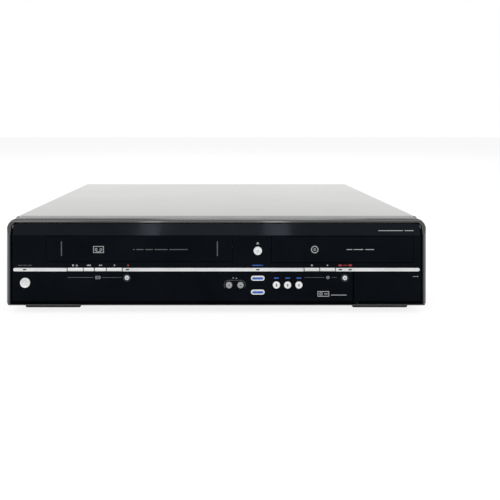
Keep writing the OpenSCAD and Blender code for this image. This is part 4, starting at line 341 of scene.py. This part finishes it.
def dress(node, material, edge=0.0, others=(), rounds=()):
    """A welded, smooth copy of a node with its longer edges rounded by edge millimetres.
    others lists (material, test), where test says by its middle and normal which face takes it, and
    rounds lists (millimetres, segments, test) for edges that are rounded by themselves."""
    source = frame["nodes"][node]
    bm = bmesh.new()
    bm.from_mesh(source.data)
    bmesh.ops.remove_doubles(bm, verts=bm.verts, dist=WELD)
    # Slivers would bend the light over the flat faces beside them
    bmesh.ops.dissolve_degenerate(bm, dist=SLIVER, edges=bm.edges)
    if edge:
        long = [e for e in folds(bm, EDGE_FOLD) if e.calc_length() > EDGE_LENGTH * edge * MM]
        round_edges(bm, long, edge, EDGE_STEPS)
    for offset, segments, test in rounds:
        chosen = [e for e in folds(bm, ROUND_FOLD) if all(test(v.co / MM) for v in e.verts)]
        round_edges(bm, chosen, offset, segments)
    for face in bm.faces:
        face.material_index = 0
        for index, (_, test) in enumerate(others):
            if test(centre(face), face.normal):
                face.material_index = index + 1
    piece = finish_mesh("finished_" + node, bm, source["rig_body"], [material] + [m for m, _ in others])
    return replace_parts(piece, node)


def outer(node):
    """A node's lowest and highest corner in millimetres."""
    low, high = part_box(node)
    return low / MM, high / MM


def middle(node):
    """The (x, z) of a node's middle in millimetres."""
    low, high = outer(node)
    return Vector(((low.x + high.x) / 2, (low.z + high.z) / 2))


# For the tests below: how far a test stands off a face that it doesn't take, the thickness of the circuit
# boards, and the share of its normal that a face has along an axis that it partly, mostly or wholly faces
OFF = 0.05
BOARD = 1.6
PARTLY, MOSTLY, WHOLLY = 0.5, 0.7, 0.9

# ---- Casing and front ----
# The front's face, on which the marks lie
FACE_Y = outer("tray_front")[0].y
panel_high = outer("front_panel")[1]
bezel_low, bezel_high = outer("bezel_frame")
CORNER_ROUND, CORNER_SEGMENTS = 4, 6
# The flap wraps round the bezel's side from this far past the panel, and the feet's soles lie below the next
FLAP_WRAP = 1.9
SOLE_TOP = 1


def in_corner(v):
    """The bezel's two outer lower corners."""
    return abs(v.x) > bezel_high.x - 2 * OFF and v.z < bezel_low.z + 2 * OFF


def is_leaning(c, n):
    """The panel's upper band, which leans back."""
    return n.y < -PARTLY and n.z > 0.1


dress("top_cover", black_coat, 0.25)
dress("bezel_frame", satin_black, 0, [(grained_black, lambda c, n: n.z > MOSTLY)],
      [(CORNER_ROUND, CORNER_SEGMENTS, in_corner)])
dress("front_panel", piano_black, 0, [(leaning_black, is_leaning)])
# Its two upright lines stand proud of the face
dress("cassette_door", piano_black, 0.3, [(dim_ink, lambda c, n: c.y < FACE_Y - OFF)])
dress("tray_front", piano_black, 0.35)
dress("jack_flap", piano_black, 0.3, [(satin_black, lambda c, n: c.x > panel_high.x + FLAP_WRAP)])
dress("accent_strip", silver_lacquer)
dress("indicator_lenses", smoked_acrylic)
dress("door_spring", bright_steel)
dress("base_chassis", zinc_steel)
dress("rear_panel", zinc_steel)
# The feet's pale grey is partly painted light
dress("feet", charcoal_abs, 0.3, [(rubber, lambda c, n: n.z < -PARTLY and c.z < SOLE_TOP)])
dress("cover_screws", black_steel)

# ---- Buttons and keys ----
DISH_RADIUS = 3.9
SELECTORS = ["selector_button_" + place for place in ("left", "middle", "right")]
DUBBING = ["dubbing_button_" + place for place in ("upper", "lower")]
KEYS = [
    "deck_stop_key", "deck_rewind_key", "deck_forward_key", "deck_play_key", "disc_stop_key", "disc_play_key"]
standby = middle("standby_button")


def in_dish(c, n):
    """The silver dish in the front of the standby button."""
    return c.y < FACE_Y and n.y < -MOSTLY and (Vector((c.x, c.z)) - standby).length < DISH_RADIUS


dress("standby_button", white_abs, 0, [(silver_lacquer, in_dish)])
for nodes, material, edge in (
        (("open_close_button", "deck_record_button", "disc_record_button"), silver_lacquer, 0),
        (("channel_down_button", "channel_up_button"), grey_lacquer, 0),
        (SELECTORS, white_abs, 0),
        (DUBBING, white_abs, 0.15),
        (KEYS, silver_lacquer, 0.15)):
    for node in nodes:
        dress(node, material, edge)

# ---- Sockets ----
# The rear panel's face lies about 10 mm before the phono sockets' ends. Their collars show from 1.5 mm
# inside that to 1.7 mm outside, and the middle column ends 7 mm from its axis.
PHONO_REACH, COLLAR_BACK, COLLAR_FRONT, HALF_COLUMN = 10, 1.5, 1.7, 7
phono_low, phono_high = outer("phono_sockets")
phono_mid = (phono_low.x + phono_high.x) / 2
REAR_Y = phono_high.y - PHONO_REACH
# The front jacks' bodies end 6 mm behind the front of their board, whose last 19 mm hold the round video jack
JACK_DEPTH, VIDEO_JACK = 6, 19
jacks_high = outer("front_jacks")[1]
jack_y = jacks_high.y - JACK_DEPTH
# Flange and depth of the mains inlet, and the reach of its two pins, their place and a radius round them
FLANGE, INLET_DEPTH, PIN_REACH, PIN_X, PIN_RADIUS = 1.4, 18, 12.6, 4.25, 1.5
inlet = middle("mains_inlet")
inlet_y = outer("mains_inlet")[1].y - FLANGE
# Metal shell of the flat video socket: its top and foot below the carrier's top, and its depth
SHELL_TOP, SHELL_FOOT, SHELL_DEPTH = 2, 8.1, 11.5
video_high = outer("video_sockets")[1]


def is_collar(c):
    """The phono sockets' wide collars at the rear panel."""
    return REAR_Y - COLLAR_BACK < c.y < REAR_Y + COLLAR_FRONT


def is_jack_plastic(c, n):
    """The jacks' bodies behind their board, and the round video jack before it."""
    return c.y > jack_y + BOARD + OFF or c.x > jacks_high.x - VIDEO_JACK and c.y < jack_y - OFF


def is_inlet_metal(c, n):
    """The inlet's two pins, and their tags behind it."""
    from_pin = Vector((abs(c.x - inlet.x) - PIN_X, c.z - inlet.y)).length
    return c.y < inlet_y - INLET_DEPTH - OFF or c.y > inlet_y - PIN_REACH and from_pin < PIN_RADIUS


def is_shell(c, n):
    """The flat video socket's shell."""
    return video_high.z - SHELL_FOOT < c.z < video_high.z - SHELL_TOP and c.y > REAR_Y - SHELL_DEPTH


dress("phono_sockets", matt_black, 0, [
    (nickel, lambda c, n: c.y > REAR_Y + COLLAR_FRONT),
    (yellow_abs, lambda c, n: is_collar(c)),
    (white_abs, lambda c, n: is_collar(c) and c.x < phono_mid - HALF_COLUMN),
    (red_abs, lambda c, n: is_collar(c) and c.x > phono_mid + HALF_COLUMN)])
dress("front_jacks", nickel, 0, [
    (green_board, lambda c, n: jack_y - OFF < c.y < jack_y + BOARD + OFF), (matt_black, is_jack_plastic)])
dress("jack_housing", matt_black, 0.2)
dress("mains_inlet", matt_black, 0, [(bright_steel, is_inlet_metal)])
dress("aerial_sockets", nickel)
dress("scart_sockets", matt_black, 0.2)
dress("video_sockets", matt_black, 0, [(nickel, is_shell)])
dress("fan_frame", matt_black, 0.3)
dress("fan_rotor", matt_black)

# ---- Inside ----
# The key board's headers stand 6 mm behind it, with the switches on its front
KEY_HEADER = 6
key_back = outer("key_board")[1].y - KEY_HEADER
# Can of the loading motor, from the deck's low x, its high y and its low z
MOTOR_X, MOTOR_Y, MOTOR_Z = 35, (-63, -19), (18, 41)
deck_low, deck_high = outer("deck_frame")
# The pinch roller's radius, its foot below the shaft's top, and a radius round that shaft
ROLLER_RADIUS, ROLLER_FOOT, ROLLER_SHAFT = 6.5, 20, 2
arm_low, arm_high = outer("pinch_arm")
roller = (arm_low.x + ROLLER_RADIUS, arm_low.y + ROLLER_RADIUS)
# The pickup's lens: its place behind the sled's front, its radius, and how far it stands over the sled
LENS_Y, LENS_RADIUS, LENS_HOLDER = 7, 2.6, 1.5
sled_low, sled_high = outer("pickup_sled")
sled_lens = ((sled_low.x + sled_high.x) / 2, sled_low.y + LENS_Y)
# Chips are 2.4 mm high, the heat sink is taller, and the row of plug headers ends 8.1 mm from the front
CHIP, HEADER_ROW = 2.4, 8.1
board_top = outer("power_parts")[0].z
board_front = outer("main_board")[0].y
# Place of the transformer, the half widths of its core and windings, and the ends where capacitors stand
TRANSFORMER, CORE_RADIUS, CORE_X, WINDING_X, WINDING_Y = (24.9, 27.3), 26, 12, (10.5, 18), 16
RIGHT_CAPS, LEFT_CAPS, LEFT_CAPS_Y = 17, 10, 14
parts_low, parts_high = outer("power_parts")
transformer = (parts_low.x + TRANSFORMER[0], parts_low.y + TRANSFORMER[1])


def near_axis(c, at, radius):
    """Whether a face lies within a radius of an upright axis at (x, y)."""
    return (Vector((c.x, c.y)) - Vector(at)).length < radius


def is_motor_can(c, n):
    """The loading motor at the deck's left."""
    return (c.x < deck_low.x + MOTOR_X and deck_high.y + MOTOR_Y[0] < c.y < deck_high.y + MOTOR_Y[1]
            and deck_low.z + MOTOR_Z[0] < c.z < deck_low.z + MOTOR_Z[1])


def is_roller(c, n):
    """The pinch roller round its shaft."""
    round_it = near_axis(c, roller, ROLLER_RADIUS + 4 * OFF) and not near_axis(c, roller, ROLLER_SHAFT)
    return c.z > arm_high.z - ROLLER_FOOT - 2 * OFF and round_it


def is_lens_holder(c, n):
    """The black holder on top of the pickup."""
    return c.z > sled_high.z - LENS_HOLDER


def is_core(c, n):
    """The transformer's ferrite core."""
    return near_axis(c, transformer, CORE_RADIUS) and abs(c.x - transformer[0]) < CORE_X


def is_winding(c, n):
    """The copper windings at both sides of the core."""
    return WINDING_X[0] < abs(c.x - transformer[0]) < WINDING_X[1] and abs(c.y - transformer[1]) < WINDING_Y


def is_sleeve(c, n):
    """The capacitors' sleeves, below their bare tops."""
    at_left = c.x < parts_low.x + LEFT_CAPS and c.y > parts_high.y - LEFT_CAPS_Y
    return n.z < WHOLLY and (c.x > parts_high.x - RIGHT_CAPS or at_left)


dress("key_board", green_board, 0, [
    (matt_black, lambda c, n: c.y < key_back - BOARD - OFF),
    (white_acetal, lambda c, n: c.y > key_back + OFF)])
dress("deck_frame", zinc_steel, 0, [(matt_black, is_motor_can)])
dress("holder_slider", zinc_steel)
dress("cassette_holder", zinc_steel)
dress("drum_base", cast_aluminium)
dress("head_drum", cast_aluminium)
dress("capstan", bright_steel)
dress("pinch_arm", bright_steel, 0, [(rubber, is_roller)])
dress("supply_reel", white_acetal)
dress("take_up_reel", white_acetal)
dress("drive_chassis", matt_black, 0.3)
dress("disc_tray", tray_grey, 0.2)
dress("tray_pinion", white_acetal)
dress("traverse", zinc_steel)
dress("turntable", matt_black)
dress("pickup_sled", cast_aluminium, 0, [
    (matt_black, is_lens_holder),
    (clear_lens, lambda c, n: is_lens_holder(c, n) and near_axis(c, sled_lens, LENS_RADIUS))])
dress("disc_clamp", matt_black)
dress("hard_disk", cast_aluminium, 0.3)
# Posts below the board, and chips, heat sink and headers on it
dress("main_board", green_board, 0, [
    (zinc_steel, lambda c, n: c.z < board_top - BOARD - OFF),
    (matt_black, lambda c, n: c.z > board_top + OFF),
    (cast_aluminium, lambda c, n: c.z > board_top + CHIP + OFF),
    (white_acetal, lambda c, n: c.z > board_top + OFF and c.y < board_front + HEADER_ROW)])
dress("power_board", tan_board)
dress("power_parts", cast_aluminium, 0, [
    (matt_black, is_core), (copper_wire, is_winding), (blue_sleeve, is_sleeve)])


# ---- Printed marks ----
# Each figure is a circle of that many sides, turned by that many degrees and stretched to its box
FIGURES = {"right": (3, -90), "left": (3, 90), "up": (3, 0), "down": (3, 180), "bar": (4, 45), "dot": (24, 0),
           "pill": (24, 7.5), "ring": (32, 0), "frame": (4, 45), "arc_left": (32, 0), "arc_right": (32, 0)}
# Which faces of a hollow figure stay, by their place from its middle. An arc ends on a line of this slope.
ARC_END = 0.6
KEPT = {
    "ring": lambda x, z: True, "frame": lambda x, z: True,
    "arc_left": lambda x, z: x < 0 and z > ARC_END * x, "arc_right": lambda x, z: x > 0 and z > -ARC_END * x}
# Thickness of the ink's solid, and how far it stands proud of its face
INK_DEPTH = 0.05
INK_PROUD = 0.02


def stamp(bm, shape, x, z, w, h, y, line=0):
    """Adds a thin flat figure, w by h millimetres, whose front lies at y.
    line is the width of a hollow figure's line."""
    sides, turn = FIGURES[shape]
    made = bmesh.ops.create_circle(bm, cap_ends=True, segments=sides, radius=1.0)["verts"]
    bmesh.ops.rotate(bm, verts=made, cent=(0, 0, 0), matrix=Matrix.Rotation(math.radians(turn), 3, "Z"))
    wide, high = max(v.co.x for v in made), max(v.co.y for v in made)
    low = min(v.co.y for v in made)
    # A pill is a circle whose halves stand apart
    apart = (w - h) / 2 if shape == "pill" else 0
    for v in made:
        across = v.co.x / wide * (w / 2 - apart) + math.copysign(apart, v.co.x)
        up = ((v.co.y - low) / (high - low) - 0.5) * h
        v.co = Vector((x + across, y + INK_DEPTH, z + up)) * MM
    faces = list({f for v in made for f in v.link_faces})
    if shape in KEPT:
        bm.normal_update()
        rim = bmesh.ops.inset_region(
            bm, faces=faces, thickness=line * MM, use_boundary=True, use_even_offset=True)["faces"]
        gone = [f for f in rim if not KEPT[shape](centre(f).x - x, centre(f).z - z)]
        bmesh.ops.delete(bm, geom=faces + gone, context="FACES")
        faces = [f for f in rim if f.is_valid]
    grown = bmesh.ops.extrude_face_region(bm, geom=faces)["geom"]
    front = [g for g in grown if isinstance(g, bmesh.types.BMVert)]
    bmesh.ops.translate(bm, verts=front, vec=(0, -INK_DEPTH * MM, 0))


def print_marks(name, ink, node, marks, front=FACE_Y, lean=None):
    """One printed colour on the front of a node. marks lists (shape, x, z, width, height) in millimetres,
    and the line's width where the shape is hollow. lean is the height where the face starts to lean back,
    and by how much for a millimetre up."""
    bm = bmesh.new()
    for mark in marks:
        stamp(bm, *mark[:5], front - INK_PROUD, *mark[5:])
    if lean:
        bmesh.ops.rotate(bm, verts=bm.verts, cent=(0, front * MM, lean[0] * MM),
                         matrix=Matrix.Rotation(-math.atan(lean[1]), 3, "X"))
    bmesh.ops.recalc_face_normals(bm, faces=bm.faces)
    return finish_mesh(name, bm, frame["nodes"][node]["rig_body"], [ink])


# Heights of the signs over the silver strip, the strip and the lines below it
STRIP_Z = middle("deck_play_key").y
LABEL_Z = STRIP_Z + 4.4
LINE_Z = STRIP_Z - 8.2
# Widths of the printed lines and dashes
HAIR, THIN, FINE, DASH = 0.35, 0.4, 0.5, 0.7

stop, rewind, forward, play, disc_stop, disc_play = [middle(node).x for node in KEYS]
deck_record, disc_record = middle("deck_record_button"), middle("disc_record_button")
opening = middle("open_close_button")
door_x = outer("cassette_door")[0].x
cap_low, cap_high = outer("tray_front")
band_z = (cap_low.z + cap_high.z) / 2
channel_down, channel_up = middle("channel_down_button"), middle("channel_up_button")
channel = (channel_down + channel_up) / 2
selectors = [middle(node) for node in SELECTORS]
tape_x = rewind + 9.3
disc_x = disc_play + 0.4
arrow_z = STRIP_Z - 7.2
# Sign of the hard disk, and the middles of the signs on the cassette door and the tray
sign = Vector((disc_play - 4.3, STRIP_Z - 25.2))
tape_sign_x = door_x + 63.6
tray_sign_x = cap_low.x + 44.6

print_marks("transport_marks", pale_ink, "front_panel", [
    ("bar", stop - 2.4, LABEL_Z, 1.7, 1.7), ("up", stop + 1.6, LABEL_Z + 0.35, 2.2, 1.2),
    ("bar", stop + 1.6, LABEL_Z - 0.7, 2.2, THIN),
    ("left", rewind - 1, LABEL_Z, 1.8, 1.8), ("left", rewind + 0.9, LABEL_Z, 1.8, 1.8),
    ("right", forward - 0.9, LABEL_Z, 1.8, 1.8), ("right", forward + 1, LABEL_Z, 1.8, 1.8),
    ("right", play, LABEL_Z, 2, 1.9),
    ("bar", disc_stop, LABEL_Z, 1.7, 1.7), ("right", disc_play, LABEL_Z, 2, 1.9),
    ("up", opening.x, opening.y + 8.4, 3, 1.5), ("bar", opening.x, opening.y + 7.1, 3, 0.45),
    ("right", panel_high.x - 3.2, arrow_z, 1.7, 1.5), ("bar", panel_high.x - 6.4, arrow_z, 3.6, THIN),
    ("up", channel.x + 1.7, channel.y + 7.3, 1.8, 1.1), ("down", channel.x - 1.7, channel.y + 7.3, 1.8, 1.1),
    # Small cassette and disc between the group lines
    ("frame", tape_x, LINE_Z, 5, 3, HAIR), ("dot", tape_x - 1.1, LINE_Z, 0.9, 0.9),
    ("dot", tape_x + 1.1, LINE_Z, 0.9, 0.9),
    ("ring", disc_x, LINE_Z, 3.2, 3.2, THIN), ("dot", disc_x, LINE_Z, 0.9, 0.9)])
# The hard disk's case with its platter and arm, and a line beside it
print_marks("hard_disk_sign", pale_ink, "front_panel", [
    ("frame", sign.x, sign.y, 12, 5.6, DASH), ("ring", sign.x - 2.4, sign.y, 3.2, 3.2, 0.6),
    ("bar", sign.x + 2.8, sign.y, 3.4, 0.8), ("bar", sign.x + 16, sign.y - 1.2, 16, DASH)])
print_marks("cassette_sign", pale_ink, "cassette_door", [
    ("frame", tape_sign_x, band_z, 11, 7, 0.6), ("ring", tape_sign_x - 2.5, band_z, 2.8, 2.8, 0.55),
    ("ring", tape_sign_x + 2.5, band_z, 2.8, 2.8, 0.55), ("bar", tape_sign_x, band_z - 2.2, 5, FINE)])
print_marks("tray_marks", pale_ink, "tray_front", [
    ("ring", tray_sign_x, band_z, 7.6, 7.6, 0.8), ("ring", tray_sign_x, band_z, 2.6, 2.6, FINE),
    *[("bar", cap_low.x + x, band_z, w, DASH) for x, w in ((80.5, 6), (90, 10), (101.5, 9))]])
print_marks("record_marks", red_ink, "front_panel", [
    ("dot", deck_record.x + 1.2, LABEL_Z, 1.9, 1.9),
    *[("bar", disc_record.x + x, LABEL_Z, w, h) for x, w, h in (
        (-4.9, 3.4, 1.8), (0.3, 4.4, DASH), (5.5, 3.4, 1.8))]])
print_marks("dubbing_marks", blue_ink, "front_panel", [
    ("left", opening.x - 4.6, LABEL_Z, 1.8, 1.6), ("bar", opening.x, LABEL_Z, 7, 1),
    ("right", opening.x + 4.6, LABEL_Z, 1.8, 1.6),
    *[("bar", at.x, at.y + 7.2, 4.8, 1.4) for at in selectors]])
print_marks("group_lines", dim_ink, "front_panel", [
    ("bar", (stop + rewind - 3.4) / 2, LINE_Z, rewind + 12.6 - stop, THIN),
    ("bar", (rewind + deck_record.x + 8.1) / 2, LINE_Z, deck_record.x - rewind - 19.1, THIN),
    ("bar", (disc_stop + disc_play - 11) / 2, LINE_Z, disc_play - disc_stop + 4.2, THIN),
    ("bar", disc_play + 7, LINE_Z, 5.4, THIN),
    *[("bar", standby.x + x, LABEL_Z, w, 0.6) for x, w in ((-5, 4), (0, 4), (5, 4))],
    # Loop over the two channel buttons, and rings round the record buttons
    ("arc_left", channel_down.x, channel.y, 10.4, 10.4, HAIR),
    ("arc_right", channel_up.x, channel.y, 10.4, 10.4, HAIR),
    ("bar", channel.x, channel.y + 5.02, channel_up.x - channel_down.x, HAIR),
    *[("ring", at.x, at.y, 7.6, 7.6, 0.3) for at in (deck_record, disc_record)]])
print_marks("door_marks", dim_ink, "cassette_door", [("bar", door_x + x, band_z, w, 0.8) for x, w in (
    (100.2, 1.8), (106.5, 7.3), (116, 7.9), (128.5, 13.4), (146.5, 18.9))])
# Two dashes on the leaning band, which starts 11.2 mm below the panel's top
BAND_HEIGHT, BAND_LEAN = 11.2, 0.325
crease_z = panel_high.z - BAND_HEIGHT
print_marks("band_marks", pale_ink, "front_panel", [
    ("bar", panel_high.x + x, crease_z + 4.8, w, 0.6) for x, w in ((-30.7, 25.4), (-11.5, 9.2))],
    lean=(crease_z, BAND_LEAN))
# Marks on the buttons' caps, from their middles, and the blue windows of the dubbing buttons
for ink, nodes, marks in (
        (dark_ink, ["channel_down_button"], [("down", 0, 0, 2.2, 1.4)]),
        (dark_ink, ["channel_up_button"], [("up", 0, 0, 2.2, 1.4)]),
        (dark_ink, ["deck_record_button", "disc_record_button"], [("dot", 0, 0, 1.3, 1.3)]),
        (dark_ink, SELECTORS, [("bar", 0, 0, 1.1, 2.6)]),
        (pale_ink, ["open_close_button"], [("up", 0, 0.7, 3, 1.5), ("bar", 0, -0.9, 3, FINE)]),
        (blue_acrylic, DUBBING, [("pill", 0, -0.2, 11.4, 2.4)])):
    for node in nodes:
        at = middle(node)
        placed = [(shape, at.x + x, at.y + z, w, h) for shape, x, z, w, h in marks]
        print_marks(node + "_mark", ink, node, placed, outer(node)[0].y)


# ---- Floor, light and camera ----
# Share of the glow in the floor that the camera sees, and the glow's strength
GLOW_SHARE, GLOW = 0.72, 1.15


def pale_floor():
    """Plain white floor. Seen by the camera it is the backdrop's white with the object's shadow on it."""
    material = bpy.data.materials.new("white_floor")
    material.use_nodes = True
    tree = material.node_tree
    tree.nodes.clear()
    paint = add(tree, "BsdfDiffuse", {"Color": linear("#e6e6e6")})
    glow = add(tree, "Emission", {"Color": (1, 1, 1, 1), "Strength": GLOW})
    rays = add(tree, "LightPath")
    share = add(tree, "Math", {"operation": "MULTIPLY", 1: GLOW_SHARE}, {0: rays.outputs["Is Camera Ray"]})
    seen = add(tree, "MixShader", links={
        0: share.outputs["Value"], 1: paint.outputs["BSDF"], 2: glow.outputs["Emission"]})
    add(tree, "OutputMaterial", links={"Surface": seen.outputs["Shader"]})
    return material


FLOOR_REACH = 8.0
floor_bm = bmesh.new()
bmesh.ops.create_grid(floor_bm, x_segments=1, y_segments=1, size=FLOOR_REACH)
floor_mesh = bpy.data.meshes.new("floor")
floor_bm.to_mesh(floor_mesh)
floor_bm.free()
floor_mesh.materials.append(pale_floor())
floor = bpy.data.objects.new("floor", floor_mesh)
bpy.context.scene.collection.objects.link(floor)

world = bpy.data.worlds.new("white_studio")
bpy.context.scene.world = world
world.use_nodes = True
sky = world.node_tree
sky.nodes.clear()
rays = add(sky, "LightPath")
# The object sees a white room; the light that it gives matt surfaces is softer
ROOM_LIGHT = 0.5
mirror_rays = add(sky, "Math", {"operation": "ADD"}, {
    0: rays.outputs["Is Glossy Ray"], 1: rays.outputs["Is Transmission Ray"]})
all_rays = add(sky, "Math", {"operation": "ADD", "use_clamp": True}, {
    0: mirror_rays.outputs["Value"], 1: rays.outputs["Is Camera Ray"]})
strength = add(sky, "MapRange", {"To Min": ROOM_LIGHT, "To Max": 1.0}, {"Value": all_rays.outputs["Value"]})
room = add(sky, "Background", {"Color": (1, 1, 1, 1)}, {"Strength": strength.outputs["Result"]})
add(sky, "OutputWorld", links={"Surface": room.outputs["Background"]})


def softbox(name, at, aim, width, height, watts):
    """Rectangular soft lamp at a place in metres, facing a point."""
    lamp = bpy.data.lights.new(name, "AREA")
    lamp.shape = "RECTANGLE"
    lamp.size, lamp.size_y, lamp.energy = width, height, watts
    obj = bpy.data.objects.new(name, lamp)
    obj.location = at
    obj.rotation_euler = (Vector(aim) - Vector(at)).to_track_quat("-Z", "Y").to_euler()
    bpy.context.scene.collection.objects.link(obj)


AIM = (0, 0, 0.05)
# Place of the leaning band on the front
BAND_Y, BAND_Z = -0.173, 0.088
for name, at, aim, width, height, watts in (
        ("key", (-1.4, -1.6, 2.2), AIM, 1.5, 1.5, 26),
        ("fill", (1.7, -1.2, 1.6), AIM, 1.5, 1.5, 16),
        ("rear", (0.3, 2.0, 2.2), AIM, 1.8, 1.2, 20),
        # Three upright lamps whose blurred reflections stand in the leaning band
        ("band_left", (-0.34, -2.241, 0.82), (-0.0715, BAND_Y, BAND_Z), 0.1, 1.4, 1.4),
        ("band_right", (0.32, -2.241, 0.82), (0.066, BAND_Y, BAND_Z), 0.12, 1.4, 1.8),
        ("band_middle", (-0.01, -2.3, 0.85), (-0.003, BAND_Y, BAND_Z), 0.7, 1.4, 1.5),
        # Upright lamps at both sides, seen in the bezel's chamfered edges
        ("side_left", (-1.6, -0.3, 0.45), (0, -0.17, 0.05), 0.5, 0.9, 3.0),
        ("side_right", (1.6, -0.3, 0.45), (0, -0.17, 0.05), 0.5, 0.9, 3.0)):
    softbox(name, at, aim, width, height, watts)

lens = bpy.data.cameras.new("viewpoint")
lens.sensor_width = 36.0
lens.lens = 39.05
lens.shift_x, lens.shift_y = 0.069, -0.25
camera = bpy.data.objects.new("viewpoint", lens)
camera.location = (-0.001, -0.736, 0.1954)
camera.rotation_euler = (math.radians(90), 0, 0)
bpy.context.scene.collection.objects.link(camera)
bpy.context.scene.camera = camera
bpy.context.scene.view_settings.view_transform = "Standard"

bpy.context.view_layer.update()
